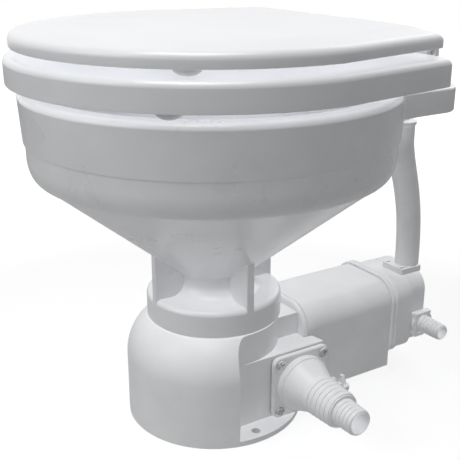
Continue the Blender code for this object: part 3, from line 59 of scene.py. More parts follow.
def focusOn(piece):
    clearSelection()
    piece.select_set(True)
    bpy.context.view_layer.objects.active = piece
    return piece


def drawLine(name, points):
    # one vertex, extruded from point to point; the piece is left in edit mode
    clearSelection()
    bpy.ops.mesh.primitive_plane_add(size=1)
    piece = bpy.context.object
    piece.name = name
    piece.data.name = name
    bpy.ops.object.mode_set(mode="EDIT")
    bpy.ops.mesh.select_all(action="SELECT")
    bpy.ops.mesh.merge(type="CENTER")
    bpy.ops.transform.translate(value=points[0])
    for last, point in zip(points, points[1:]):
        step = tuple(b - a for a, b in zip(last, point))
        bpy.ops.mesh.extrude_region_move(TRANSFORM_OT_translate={"value": step})
    bpy.ops.mesh.select_all(action="SELECT")
    return piece


def tidyMesh():
    bpy.ops.mesh.select_all(action="SELECT")
    bpy.ops.mesh.remove_doubles(threshold=weld)
    bpy.ops.mesh.normals_make_consistent(inside=False)
    bpy.ops.object.mode_set(mode="OBJECT")


axisTurns = {
    "Z": (0, 0, 0),
    "-Z": (math.pi, 0, 0),
    "X": (0, math.pi / 2, 0),
    "-X": (0, -math.pi / 2, 0),
    "Y": (-math.pi / 2, 0, 0),
}


def applyPlace(piece, place, turn):
    focusOn(piece)
    piece.rotation_euler = turn
    piece.location = place
    bpy.ops.object.transform_apply(location=True, rotation=True, scale=True)
    return piece


def lathe(name, profile, place=(0, 0, 0), axis="Z", steps=64):
    # profile points are (radius, height along the axis)
    piece = drawLine(name, [(radius, 0, height) for radius, height in profile])
    bpy.ops.mesh.spin(steps=steps, angle=math.tau, center=(0, 0, 0), axis=(0, 0, 1))
    tidyMesh()
    return applyPlace(piece, place, axisTurns[axis])


def stepped(rows):
    # profile of a stepped round bore, from rows of radius, low end and high end
    line = [(0, rows[0][1])]
    for radius, low, high in rows:
        line += [(radius, low), (radius, high)]
    return line + [(0, rows[-1][2])]


def rod(name, radius, low, high, place=(0, 0, 0), axis="Z", steps=24):
    return lathe(name, stepped([(radius, low, high)]), place, axis, steps)


def mirrored(points):
    return [(-x, other) for x, other in reversed(points)]


def ring(profile):
    return profile + profile[:1]  # back to the first point, for a hollow piece


def slab(name, outline, plane, low, high):
    # a flat outline in two axes, filled and extruded along the third
    along = [i for i, letter in enumerate("XYZ") if letter not in plane][0]
    points = []
    for pair in outline:
        point = list(pair)
        point.insert(along, low)
        points.append(tuple(point))
    piece = drawLine(name, points)
    bpy.ops.mesh.edge_face_add()
    shift = [0, 0, 0]
    shift[along] = high - low
    bpy.ops.mesh.extrude_region_move(TRANSFORM_OT_translate={"value": shift})
    tidyMesh()
    return piece


def cuboid(name, low, high):
    clearSelection()
    bpy.ops.mesh.primitive_cube_add(size=1, location=[(a + b) / 2 for a, b in zip(low, high)],
                                    scale=[b - a for a, b in zip(low, high)])
    piece = bpy.context.object
    piece.name = name
    piece.data.name = name
    bpy.ops.object.transform_apply(location=True, rotation=True, scale=True)
    return piece


def arcPoints(centre, radius, start, end, count):
    turns = [math.radians(start + (end - start) * i / count) for i in range(count + 1)]
    return [(centre[0] + radius * math.cos(turn), centre[1] + radius * math.sin(turn))
            for turn in turns]


def roundedBox(halfU, halfV, corner, centre=(0, 0), count=6):
    outline = []
    for i, (u, v) in enumerate(((1, 1), (-1, 1), (-1, -1), (1, -1))):
        middle = (centre[0] + u * (halfU - corner), centre[1] + v * (halfV - corner))
        outline += arcPoints(middle, corner, i * 90, i * 90 + 90, count)
    return outline


def housingSection(half, low, high, highRound, lowRound=0, count=14):
    right = [(half, low)]
    if lowRound:
        right = arcPoints((half - lowRound, low + lowRound), lowRound, -90, 0, count // 2)
    right += arcPoints((half - highRound, high - highRound), highRound, 0, 90, count)
    return right + mirrored(right)


def combine(piece, other, operation):
    focusOn(piece)
    step = piece.modifiers.new(operation.lower(), "BOOLEAN")
    step.operation = operation
    step.solver = "MANIFOLD"  # keeps every piece closed, also where faces lie in one plane
    step.object = other
    bpy.ops.object.modifier_apply(modifier=step.name)
    bpy.data.objects.remove(other, do_unlink=True)
    return piece


def carve(piece, *cutters):
    for cutter in cutters:
        combine(piece, cutter, "DIFFERENCE")
    return piece


def weldOn(piece, *others):
    for other in others:
        combine(piece, other, "UNION")
    return piece


def soften(piece, width, segments=3, angle=32):
    # a real moulded or turned edge is never sharp
    focusOn(piece)
    step = piece.modifiers.new("softEdge", "BEVEL")
    step.limit_method = "ANGLE"
    step.angle_limit = math.radians(angle)
    step.width = width
    step.segments = segments
    step.miter_outer = "MITER_ARC"
    bpy.ops.object.modifier_apply(modifier=step.name)
    return piece


def copyPiece(piece, name, shift=(0, 0, 0), mirror=None):
    focusOn(piece)
    bpy.ops.object.duplicate()
    twin = bpy.context.object
    twin.name = name
    twin.data.name = name
    if mirror is not None:
        twin.scale[mirror] = -1
    twin.location = shift
    bpy.ops.object.transform_apply(location=True, rotation=True, scale=True)
    if mirror is not None:
        bpy.ops.object.mode_set(mode="EDIT")
        tidyMesh()
    return twin


def dress(piece, body, slotName, *replaced, smooth=30):
    focusOn(piece)
    bpy.ops.object.shade_smooth_by_angle(angle=math.radians(smooth))
    step = piece.modifiers.new("evenShade", "WEIGHTED_NORMAL")
    step.keep_sharp = True
    bpy.ops.object.modifier_apply(modifier=step.name)
    piece.data.materials.clear()
    piece.data.materials.append(finishes[slotName])
    if replaced:
        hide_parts(*replaced)
    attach(piece, body)
    return piece


def mould(piece, node):
    return dress(piece, "base", "white_plastic", node)


# finishes
def linear(hexCode):
    shares = [int(hexCode[i:i + 2], 16) / 255 for i in (1, 3, 5)]
    return [s / 12.92 if s <= 0.04045 else ((s + 0.055) / 1.055) ** 2.4 for s in shares] + [1]


def addNode(tree, kind, settings, links=None):
    node = tree.nodes.new(kind)
    for key, value in settings.items():
        if isinstance(key, int) or key in node.inputs:
            node.inputs[key].default_value = value
        else:
            setattr(node, key, value)
    for key, source in (links or {}).items():
        tree.links.new(source, node.inputs[key])
    return node


def newMaterial(name, settings):
    material = bpy.data.materials.new(name)
    material.use_nodes = True
    shader = material.node_tree.nodes["Principled BSDF"]
    for key, value in settings.items():
        shader.inputs[key].default_value = value
    return material, material.node_tree, shader


def mottle(name, settings, low, high, patchMm, roughLow, roughHigh, bumpMm, bumpHeight):
    # colour drifts between two near tones, gloss drifts with it, and fine grain is raised
    material, tree, shader = newMaterial(name, settings)
    place = addNode(tree, "ShaderNodeTexCoord", {})
    patch = addNode(tree, "ShaderNodeTexNoise", {"Scale": 1000 / patchMm, "Detail": 4.0},
                    {"Vector": place.outputs["Object"]})
    tones = addNode(tree, "ShaderNodeValToRGB", {}, {"Fac": patch.outputs["Fac"]})
    tones.color_ramp.elements[0].position = 0.35
    tones.color_ramp.elements[0].color = linear(low)
    tones.color_ramp.elements[1].position = 0.65
    tones.color_ramp.elements[1].color = linear(high)
    gloss = addNode(tree, "ShaderNodeMapRange",
                    {"From Min": 0.3, "From Max": 0.7, "To Min": roughLow, "To Max": roughHigh},
                    {"Value": patch.outputs["Fac"]})
    grain = addNode(tree, "ShaderNodeTexNoise", {"Scale": 1000 / bumpMm, "Detail": 3},
                    {"Vector": place.outputs["Object"]})
    relief = addNode(tree, "ShaderNodeBump", {"Strength": 0.6, "Distance": bumpHeight},
                     {"Height": grain.outputs["Fac"]})
    tree.links.new(tones.outputs["Color"], shader.inputs["Base Color"])
    tree.links.new(gloss.outputs["Result"], shader.inputs["Roughness"])
    tree.links.new(relief.outputs["Normal"], shader.inputs["Normal"])
    return material


# name, shader settings, two near tones and the patches' size in mm, roughness from and to, and
# the grain's size in mm and height
finishTable = {
    # glazed vitreous china: fired glass skin, so it mirrors softly and ripples a little
    "china": ("glazedChina",
              {"IOR": 1.52, "Coat Weight": 0.35, "Coat Roughness": 0.12, "Coat IOR": 1.5},
              "#e4e5e8", "#eaebed", 60, 0.26, 0.34, 9, 0.00004),
    # polyester enamel on moulded board: even gloss with a faint orange peel
    "enamel": ("sprayedEnamel", {"IOR": 1.5, "Coat Weight": 0.3, "Coat Roughness": 0.12},
               "#e2e3e6", "#e7e8ea", 80, 0.3, 0.38, 3, 0.00003),
    # injection moulded ABS: satin, with a fine spark texture from the mould
    "white_plastic": ("mouldedAbs", {"IOR": 1.5},
                      "#edeef0", "#f2f3f4", 35, 0.36, 0.46, 0.8, 0.00003),
    # soft PVC hose: waxy, cloudier than the mouldings
    "vinyl": ("softPvc", {"IOR": 1.52, "Subsurface Weight": 0.0},
              "#eeeff0", "#f4f4f5", 18, 0.34, 0.46, 2.5, 0.00004),
    # pale moulded rubber: dull, with a slight bloom
    "pale_rubber": ("paleRubber", {"IOR": 1.5, "Sheen Weight": 0.1},
                    "#c6c8ca", "#d0d2d3", 8, 0.6, 0.72, 0.7, 0.00004),
    # black nitrile rubber: matt, with a grey bloom in patches
    "rubber": ("blackRubber", {"IOR": 1.5, "Sheen Weight": 0.1},
               "#17181a", "#232427", 6, 0.55, 0.7, 0.6, 0.00004),
    # turned stainless steel: bright, with fine rings left by the tool
    "stainless": ("turnedStainless", {"Metallic": 1.0},
                  "#b9babd", "#cfd0d2", 4, 0.18, 0.28, 0.5, 0.00001),
    # zinc and powder coated steel can: dark, slightly rough
    "dark_steel": ("coatedSteel", {"Metallic": 0.9},
                   "#55575a", "#626467", 12, 0.36, 0.48, 0.6, 0.00002),
    # stacked laminations: blued sheet edges
    "lamination": ("stackedSheet", {"Metallic": 1.0},
                   "#7c7e82", "#8d8f92", 3, 0.4, 0.5, 0.35, 0.00003),
    # sintered ferrite magnet: dark and dry
    "magnet_black": ("sinteredMagnet", {"IOR": 1.6},
                     "#2b2c2e", "#37383a", 5, 0.6, 0.75, 0.3, 0.00004),
    # drawn copper: warm, faintly oxidised in patches
    "copper": ("drawnCopper", {"Metallic": 1.0},
               "#b86f4e", "#cf8a63", 5, 0.26, 0.4, 0.4, 0.00002),
    # pressed carbon: sooty black with a faint metallic glint
    "carbon": ("pressedCarbon", {"IOR": 1.7},
               "#161617", "#202021", 2, 0.5, 0.65, 0.3, 0.00002),
}
finishes = {slotName: mottle(*row) for slotName, row in finishTable.items()}
print("materials made:", len(finishes))


# bolts between the bowl and the base: radius, low end, high end and steps of each piece's bores
bolts = {
    "reach": 0.052, "bowl": (0.0043, 0.100, 0.1241, 20), "deck": (0.0043, 0.09945, 0.109, 24),
    "housing": (0.0073, 0.0907, 0.103, 32),
}


def boreForBolts(piece, owner):
    radius, low, high, steps = bolts[owner]
    for i in range(4):
        turn = math.radians(45 + 90 * i)
        place = (bolts["reach"] * math.cos(turn), bolts["reach"] * math.sin(turn), 0)
        carve(piece, rod("boltBore", radius, low, high, place, steps=steps))


# bowl: turned china with four ribs, a rim channel and a rear shelf
bowl = SimpleNamespace(
    low=0.1078, footRadius=0.068, footTop=0.1348, footRound=0.0055,
    flare=0.013, neckRadius=0.037, neckHeight=0.148,
    coneLow=(0.0436, 0.1607), coneHigh=(0.1652, 0.2598),
    shoulder=(0.174, 0.280), bandHeight=0.2934, bandStep=0.002,
    rimRadius=0.1782, rimHeight=0.339, rimRound=0.006,
    wall=0.009, outlet=0.021, lipWidth=0.020, lipDepth=0.021,
    ribThickness=0.008, steps=144,
    shelfHalf=0.1375, shelfRear=0.190, shelfLow=0.316, shelfCorner=0.025,
    shelfRoot=0.111, shelfStraight=0.144, shelfTuck=0.008, shelfSink=0.0001,
    shelfEdge=0.002, edge=0.0012, ribEdge=0.0006, ribSink=0.004,
    lipSoft=0.004, channel=(0.0015, 0.003), sumpLift=0.006,
    throat=(0.006, 0.001, 0.0015), drain=((0.023, 0.1555), (0.021, 0.1512)),
    rinseHoles=(0.1665, 0.3105, 0.0018, 0.004),  # reach, height, radius, half length
    rinseSocket=(0.0073, 0.0113), inlet=(0.067, 0.1795), hinge=(0.116, 0.152),
    nutRoom=(0.011, 0.009), studHole=(0.0043, 0.030),
)


def bowlOutside():
    b = bowl
    rise = b.neckHeight - b.footTop
    neckOut = b.coneLow[0] - b.neckRadius
    neckUp = b.coneLow[1] - b.neckHeight
    bend = (b.shoulder[0] - b.coneHigh[0], b.shoulder[1] - b.coneHigh[1])
    line = [(b.outlet, b.low), (b.footRadius - b.edge, b.low), (b.footRadius, b.low + b.edge)]
    line += arcPoints((b.footRadius - b.footRound, b.footTop - b.footRound), b.footRound, 0, 90, 8)
    for i in range(13):
        turn = math.radians(90 * i / 12)
        line.append((b.neckRadius + b.flare * (1 - math.sin(turn)),
                     b.neckHeight - rise * math.cos(turn)))
    for i in range(1, 9):
        turn = math.radians(84 * i / 8)
        line.append((b.coneLow[0] - neckOut * math.cos(turn),
                     b.neckHeight + neckUp * math.sin(turn)))
    line.append((b.coneLow[0] + b.edge, b.coneLow[1] + b.edge / 2))
    line.append(b.coneHigh)
    for i in range(1, 11):
        turn = math.radians(90 * i / 10)
        line.append((b.coneHigh[0] + bend[0] * math.sin(turn),
                     b.shoulder[1] - bend[1] * math.cos(turn)))
    line += [(b.shoulder[0], b.bandHeight - b.edge),
             (b.shoulder[0] + b.edge / 3, b.bandHeight),
             (b.shoulder[0] + b.bandStep - b.edge / 3, b.bandHeight),
             (b.shoulder[0] + b.bandStep, b.bandHeight + b.edge)]
    line += arcPoints((b.rimRadius - b.rimRound, b.rimHeight - b.rimRound), b.rimRound, 0, 90, 8)
    return line


def bowlInside():
    b = bowl
    slope = (b.coneHigh[1] - b.coneLow[1]) / (b.coneHigh[0] - b.coneLow[0])
    lift = b.wall * math.sqrt(1 + slope * slope)
    lip = b.rimRadius - b.lipWidth
    wide = b.shoulder[0] - b.wall + b.bandStep
    lipFoot = b.rimHeight - b.lipDepth
    soft = b.lipSoft
    high = b.shoulder[1] + b.sumpLift

    def floorHeight(radius):
        return b.coneLow[1] + slope * (radius - b.coneLow[0]) + lift

    line = arcPoints((lip + soft, b.rimHeight - soft), soft, 90, 180, 6)
    line += arcPoints((lip + soft, lipFoot + soft), soft, 180, 270, 4)
    line += [(wide - soft, lipFoot - b.wall + b.channel[0]),
             (wide, lipFoot - b.wall - b.channel[1])]
    sump = wide - 2 * b.wall
    for i in range(9):
        share = i / 8
        radius = wide - (wide - sump) * share * share
        line.append((radius, high - (high - floorHeight(sump)) * math.sin(share * math.pi / 2)))
    out, tuck, drop = b.throat
    line += [(b.neckRadius + out, floorHeight(b.neckRadius + out)),
             (b.neckRadius - tuck, floorHeight(b.neckRadius) - drop)]
    return line + list(b.drain)


def shelfOutline():
    b = bowl
    root = math.degrees(math.asin(b.shelfRoot / b.rimRadius))
    front = arcPoints((0, 0), b.rimRadius - b.shelfTuck, 180 - root, root, 16)
    side = [(b.rimRadius * math.cos(math.radians(root)), b.shelfRoot)]
    for i in range(1, 7):  # the side leaves the rim in one easy curve
        share = i / 6
        side.append((b.shelfHalf + (side[0][0] - b.shelfHalf) * (1 - share) ** 2,
                     b.shelfRoot + (b.shelfStraight - b.shelfRoot) * share))
    side += arcPoints((b.shelfHalf - b.shelfCorner, b.shelfRear - b.shelfCorner),
                      b.shelfCorner, 0, 90, 12)
    return front + side + mirrored(side)


def makeBowl():
    b = bowl
    body = lathe("bowl_china", ring(bowlOutside() + bowlInside()), steps=b.steps)
    shelf = slab("shelf", shelfOutline(), "XY", b.shelfLow, b.rimHeight - b.shelfSink)
    weldOn(body, soften(shelf, b.shelfEdge))
    sink = b.ribSink
    ribIn = b.neckRadius - sink
    ribOut = b.footRadius - 0.0003
    slope = (b.coneHigh[1] - b.coneLow[1]) / (b.coneHigh[0] - b.coneLow[0])
    ribTop = b.coneLow[1] + slope * (ribOut - b.coneLow[0]) + sink
    ribFoot = b.footTop - b.footRound - 0.002
    ribShape = [(ribIn, ribFoot), (ribOut, ribFoot), (ribOut, ribTop),
                (b.coneLow[0], b.coneLow[1] + sink), (ribIn, b.coneLow[1] - sink)]
    rib = slab("rib", ribShape, "XZ", -b.ribThickness / 2, b.ribThickness / 2)
    soften(rib, b.ribEdge, 2)
    for i in range(4):
        piece = copyPiece(rib, "rib_" + str(i))
        weldOn(body, applyPlace(piece, (0, 0, 0), (0, 0, math.radians(90 * i))))
    bpy.data.objects.remove(rib)
    boreForBolts(body, "bowl")
    reach, height, radius, half = b.rinseHoles
    for i in range(24):  # rinse holes under the lip, with a land after each five
        if i % 6 == 5:
            continue
        turn = math.radians(15 * i + 7.5)
        hole = rod("rinseHole", radius, -half, half, axis="X", steps=12)
        carve(body, applyPlace(hole, (reach * math.cos(turn), reach * math.sin(turn), height),
                               (0, math.radians(35), turn)))
    radius, depth = b.rinseSocket
    carve(body, rod("rinseSocket", radius, -overrun, depth, (*b.inlet, b.shelfLow), steps=32))
    (room, deep), (radius, high) = b.nutRoom, b.studHole
    for side in (1, -1):
        carve(body, lathe("studHole", stepped([(room, -overrun, deep), (radius, deep, high)]),
                          (side * b.hinge[0], b.hinge[1], b.shelfLow), steps=48))
    return dress(body, "base", "china", "bowl")


makeBowl()
print("bowl made")


# base: round foot, domed front and core tube, open underneath
base = SimpleNamespace(
    foot=0.090, footThick=0.006, bend=(0.0399, 0.065), bendRadius=0.0501,
    deck=0.106, deckThick=0.006, core=0.066, bore=0.061, domeWall=0.005,
    endWall=-0.0239, fillet=0.0245, pocketEnd=-0.0339, mouth=0.041,
    sideWindow=(-0.0118, 0.0753), rearWindow=(0.0378, 0.0993), trim=(0.0797, 0.012),
    holeX=0.079, holeRadius=0.0045, holeTop=0.009, mouthDepth=0.004,
    webHalf=0.010, webHeight=0.004, archGap=0.0003, edge=0.0007, steps=144,
    reach=0.12, below=-0.01,  # how far the cutters run out and down
)


def makeBase():
    b = base
    reach = b.reach
    topTurn = math.degrees(math.asin((b.deck - b.bend[1]) / b.bendRadius))
    outer = [(0, 0), (b.foot - b.edge, 0), (b.foot, b.edge)]
    outer += arcPoints(b.bend, b.bendRadius, 0, topTurn, 24) + [(0, b.deck)]
    shell = lathe("base_shell", outer, steps=b.steps)

    filletY = b.endWall + b.fillet
    filletX = math.sqrt((b.core + b.fillet) ** 2 - filletY ** 2)
    meet = math.degrees(math.atan2(filletY, filletX))
    right = [(reach, b.endWall)]
    right += arcPoints((filletX, filletY), b.fillet, -90, meet - 180, 12)
    right += arcPoints((0, 0), b.core, meet, 90, 48)[1:]
    plan = right + mirrored(right[:-1]) + [(-reach, reach), (reach, reach)]
    carve(shell, slab("behindDome", plan, "XY", b.footThick, b.deck + overrun))

    innerBend = b.bendRadius - b.domeWall
    roof = b.deck - b.deckThick
    roofTurn = math.degrees(math.asin((roof - b.bend[1]) / innerBend))
    arch = [point for point in arcPoints(b.bend, innerBend, 0, roofTurn, 16)
            if point[0] > b.core + b.archGap]
    pocket = lathe("pocket", ring([(b.core, -overrun), (b.foot - b.domeWall, -overrun)]
                                  + arch + [(b.core, arch[-1][1])]), steps=b.steps)
    carve(pocket, cuboid("pocketEnd", (-reach, b.pocketEnd, b.below), (reach, reach, reach)))
    hollow = rod("hollow", b.bore, -overrun, roof, steps=b.steps)
    carve(hollow, cuboid("web", (-reach, -b.webHalf, b.below), (reach, b.webHalf, b.webHeight)))
    mouth = rod("mouth", b.mouth, roof - b.mouthDepth, b.deck + overrun, steps=96)
    carve(shell, pocket, hollow, mouth)
    carve(shell, cuboid("sideWindow", (0, b.sideWindow[0], b.footThick),
                        (reach, b.foot, b.sideWindow[1])))
    carve(shell, cuboid("rearWindow", (-b.rearWindow[0], 0, b.footThick),
                        (b.rearWindow[0], reach, b.rearWindow[1])))
    carve(shell, cuboid("footTrim", (-reach, b.trim[0], -overrun), (reach, reach, b.trim[1])))
    for side in (1, -1):
        carve(shell, rod("footHole", b.holeRadius, -overrun, b.holeTop,
                         (side * b.holeX, 0, 0), steps=40))
    boreForBolts(shell, "deck")
    soften(shell, b.edge, 2, 40)
    return mould(shell, "base_housing")


# macerator housing: motor block, discharge chamber, barrel and inlet neck in one moulding
housing = SimpleNamespace(
    half=0.0375, front=0.040, rear=0.0797, low=0.0063, top=0.099,
    chamberFront=-0.0115, chamberSide=0.066, chamberRear=0.092,
    chamfer=(0.050, 0.089), notch=0.0493, chamberTop=0.075,
    barrel=0.037, bore=0.033, barrelFront=-0.0430, shaft=0.055,
    neck=0.047, neckTop=0.0997, neckBore=0.041,
    way=(0.059, 0.0404), wayBore=((0.017, 0, 0.0627), (0.0193, 0.0627, 0.069)),
    frontWall=0.004, frontEdge=0.001, mouthTop=0.103,
    screwSpacing=0.0264, screwHole=0.0025, screwDepth=0.009, edge=0.0008,
)


def makeHousing():
    h = housing
    front, rear, soft = h.barrelFront, h.rear, h.frontEdge
    barrel = lathe("macerator_body", [(0, front), (h.barrel - soft, front),
                                      (h.barrel, front + soft), (h.barrel, rear), (0, rear)],
                   (0, 0, h.shaft), "Y", 96)
    chamber = [(0, h.chamberFront), (h.chamberSide, h.chamberFront),
               (h.chamberSide, h.chamberRear), h.chamfer, (h.notch, rear), (0, rear)]
    block = cuboid("motorBlock", (-h.half, h.front, h.low), (h.half, rear, h.top))
    soften(block, h.edge, 3)
    side = soften(slab("chamber", chamber, "XY", h.low, h.chamberTop), h.edge, 3)
    weldOn(barrel, block, side, rod("neck", h.neck, h.shaft, h.neckTop, steps=96))
    carve(barrel, rod("bore", h.bore, front + h.frontWall, rear + overrun,
                      (0, 0, h.shaft), "Y", 96))
    carve(barrel, rod("mouth", h.neckBore, h.shaft, h.mouthTop, steps=96))
    carve(barrel, lathe("way", stepped(h.wayBore), (0, *h.way), "X", 64))
    boreForBolts(barrel, "housing")
    for y, z in screwPlaces():
        carve(barrel, rod("screwHole", h.screwHole, -h.screwDepth, overrun,
                          (h.chamberSide, y, z), "X", 20))
    return mould(barrel, "macerator_housing")


def screwPlaces():
    y, z = housing.way
    step = housing.screwSpacing
    return [(y + i * step, z + j * step) for i in (-1, 1) for j in (-1, 1)]


# discharge port: square plate, cone and two stepped sets of hose barbs
discharge = SimpleNamespace(
    half=0.034, corner=0.008, back=0.0676, face=0.0736, plateEdge=0.002,
    lip=0.0295, lipLength=0.007, cone=0.0282, throat=0.0206, coneEnd=0.0295,
    bigBarbs=(0.0295, 0.0665, 0.0206, 0.0190, 6),
    smallBarbs=(0.0665, 0.0915, 0.0142, 0.0136, 5), barbDepth=0.0021,
    mouth=0.019, bore=0.0107, sunk=0.003, through=0.009, lipEdge=(0.001, 0.0003),
    stepEdge=((0.0002, 0.0004), (0.0008, 0)), tipEdge=(0.0006, 0.0005),
    holeRadius=0.0025, screwRadius=0.0022, screwEnd=-0.012, headRadius=0.0056,
    headHeight=0.0019, crossWidth=0.0016, crossReach=0.0036, crossDepth=0.0015,
    headLift=0.0001,
)


def barbLine(start, end, first, last, count, depth):
    # each ridge stands up sharply on the plate's side, falls off and ends at a narrow groove
    line = []
    pitch = (end - start) / count
    for i in range(count):
        crest = first + (last - first) * i / (count - 1)
        low = start + pitch * i
        shape = [(0, 0.12), (0.08, 0.3), (0.5, 0.76), (1, 0.79), (1, 0.99)]
        line.append((crest - depth * 0.2, low + 0.0001))
        line += [(crest - depth * fall, low + pitch * share) for fall, share in shape]
    return line


def cutCross(screw, axis, bottom, top, reach, width):
    # the cross recess of a screw that lies along an axis
    for turn in (20, 110):
        low, high, tilt = [-reach, -width / 2], [reach, width / 2], [0, 0]
        low.insert(axis, bottom)
        high.insert(axis, top)
        tilt.insert(axis, math.radians(turn))
        carve(screw, applyPlace(cuboid("crossArm", low, high), (0, 0, 0), tilt))


def setScrews(screw, name, node, places):
    # the screw is modelled once and copied to its places
    for i, place in enumerate(places, 1):
        piece = copyPiece(screw, name + str(i), place)
        dress(piece, "base", "stainless", node + str(i))
    bpy.data.objects.remove(screw)


def makeDischarge():
    d = discharge
    y, z = housing.way
    plate = slab("discharge_plate", roundedBox(d.half, d.half, d.corner, (y, z), 8), "YZ",
                 d.back, d.face)
    soften(plate, d.plateEdge, 4)
    lip, lipEnd, (edge, ease) = d.lip, d.lipLength, d.lipEdge
    line = [(0, -d.sunk), (lip, -d.sunk), (lip, lipEnd - edge), (lip - ease, lipEnd - ease),
            (lip - edge, lipEnd), (d.cone, lipEnd + 0.0002),
            (d.throat - 0.0008, d.coneEnd - 0.0004)]
    line += barbLine(*d.bigBarbs, d.barbDepth)
    tail = d.bigBarbs[3] - d.barbDepth
    line += [(tail - inward, d.bigBarbs[1] - back) for inward, back in d.stepEdge]
    line += barbLine(*d.smallBarbs, d.barbDepth)[:-1]
    tip = d.smallBarbs[1]
    end = d.smallBarbs[3] - d.barbDepth
    edge, ease = d.tipEdge
    line += [(end, tip - edge), (end - ease, tip), (0, tip)]
    weldOn(plate, lathe("spout", line, (d.face, y, z), "X", 96))
    through = -d.through
    hollow = [(0, through), (d.mouth, through), (d.mouth, lipEnd),
              (d.bore, d.coneEnd), (d.bore, tip - edge), (d.bore + edge, tip),
              (d.bore + edge, tip + overrun), (0, tip + overrun)]
    carve(plate, lathe("waterway", hollow, (d.face, y, z), "X", 96))
    for place in screwPlaces():
        carve(plate, rod("plateHole", d.holeRadius, through, overrun, (d.face, *place), "X"))
    mould(plate, "discharge_port")

    r, h, end = d.headRadius, d.headHeight, d.screwEnd  # a pan head
    head = [(0, end), (d.screwRadius, end), (d.screwRadius, 0.0002), (r - 0.0004, 0.0002),
            (r, 0.0005), (r - 0.0001, 0.0009), (r * 0.86, h * 0.76), (r * 0.6, h * 0.94),
            (r * 0.3, h), (0, h)]
    screw = lathe("cross_screw", head, (0, 0, 0), "X", 40)
    cutCross(screw, 0, h - d.crossDepth, h + overrun, d.crossReach, d.crossWidth)
    setScrews(screw, "cross_screw_", "discharge_screw_",
              [(d.face + d.headLift, *place) for place in screwPlaces()])


# motor: flange with a full round bead, and the sleeve with its two lugs
motor = SimpleNamespace(
    flange=(0.080, 0.086), flangeHalf=0.049, flangeLow=0.00425, flangeTop=0.10575,
    flangeRound=0.02675, bead=0.0028, spigot=0.0327, spigotFront=0.071,
    cover=(0.0863, 0.2027), half=0.0475, low=0.005, top=0.105, round=0.026,
    wall=0.0025, lugY=0.128, lugReach=0.013, lugLength=0.020, lugThick=0.005,
    gussetTop=0.014, gussetThick=0.004, gussetFoot=0.0025, lugCorner=0.005,
    lugHole=(0.003, 0.008, 0.00775), edge=0.0006, lugEdge=0.0005, gussetEdge=0.0004,
    gland=(0.128, 0.072), glandHole=(0.0043, -0.005, 0.0025), shaft=0.055,
    spigotEnd=0.083, seats=((0.0093, 0.068, 0.0763), (0.0043, 0.0763, 0.0787),
                            (0.0113, 0.0787, 0.089)),
)


def makeMotorFlange():
    m = motor
    section = housingSection(m.flangeHalf, m.flangeLow, m.flangeTop, m.flangeRound)
    flange = slab("motor_plate", section, "XZ", *m.flange)
    soften(flange, m.bead, 7)
    shaft = (0, 0, m.shaft)
    weldOn(flange, rod("flangeSpigot", m.spigot, m.spigotFront, m.spigotEnd, shaft, "Y", 96))
    carve(flange, lathe("seats", stepped(m.seats), shaft, "Y", 48))
    return mould(flange, "motor_flange")


def makeCover():
    m = motor
    outer = housingSection(m.half, m.low, m.top, m.round, count=20)
    inner = housingSection(m.half - m.wall, m.low + m.wall, m.top - m.wall,
                           m.round - m.wall, count=20)
    cover = slab("motor_sleeve", outer, "XZ", *m.cover)
    soften(cover, m.edge, 3)
    carve(cover, slab("hollow", inner, "XZ", m.cover[0] - overrun, m.cover[1] + overrun))
    start = m.half - m.wall / 2
    end = m.half + m.lugReach
    gusset = [(start, m.gussetFoot), (end - m.gussetThick, m.gussetFoot),
              (m.half + m.gussetThick, m.gussetTop), (start, m.gussetTop)]
    lug = slab("lug", roundedBox((end - start) / 2, m.lugLength / 2, m.lugCorner,
                                 ((start + end) / 2, m.lugY)), "XY", 0, m.lugThick)
    soften(lug, m.lugEdge, 2)
    for edge in (-1, 1):
        middle = m.lugY + edge * (m.lugLength / 2 - m.gussetThick)
        piece = slab("gusset", gusset, "XZ", middle - m.gussetThick / 2,
                     middle + m.gussetThick / 2)
        weldOn(lug, soften(piece, m.gussetEdge, 2))
    radius, high, reach = m.lugHole
    carve(lug, rod("lugHole", radius, -overrun, high, (m.half + reach, m.lugY, 0), steps=32))
    weldOn(cover, copyPiece(lug, "leftLug", mirror=0), lug)
    carve(cover, rod("glandHole", *m.glandHole, (-m.half, *m.gland), "-X", 32))
    return mould(cover, "motor_cover")


def makeGland():
    bore, collar, waist, flangeOut, low, tip = 0.0025, 0.0077, 0.004, 0.008, -0.0053, 0.016
    line = [(bore, low), (collar, low), (collar, -0.0028), (waist, -0.0028), (waist, 0.0003),
            (flangeOut - 0.0004, 0.0003), (flangeOut, 0.0008), (flangeOut, 0.0048),
            (collar, -low)]
    for i in range(4):  # ribs that let the nose flex with the cable
        at = 0.0064 + 0.0024 * i
        radius = 0.0074 - 0.0005 * i
        line += [(radius - 0.0009, at - 0.0007), (radius - 0.0009, at), (radius, at + 0.0003),
                 (radius - 0.0002, at + 0.0014)]
    line += [(0.0056, tip - 0.0003), (0.0053, tip), (bore, tip)]
    gland = lathe("cable_grommet", ring(line), (-motor.half, *motor.gland), "-X", 48)
    return dress(gland, "base", "rubber", "cable_gland")


makeBase()
makeHousing()
print("base and macerator made")
makeDischarge()
makeMotorFlange()
makeCover()
makeGland()
print("discharge and motor made")


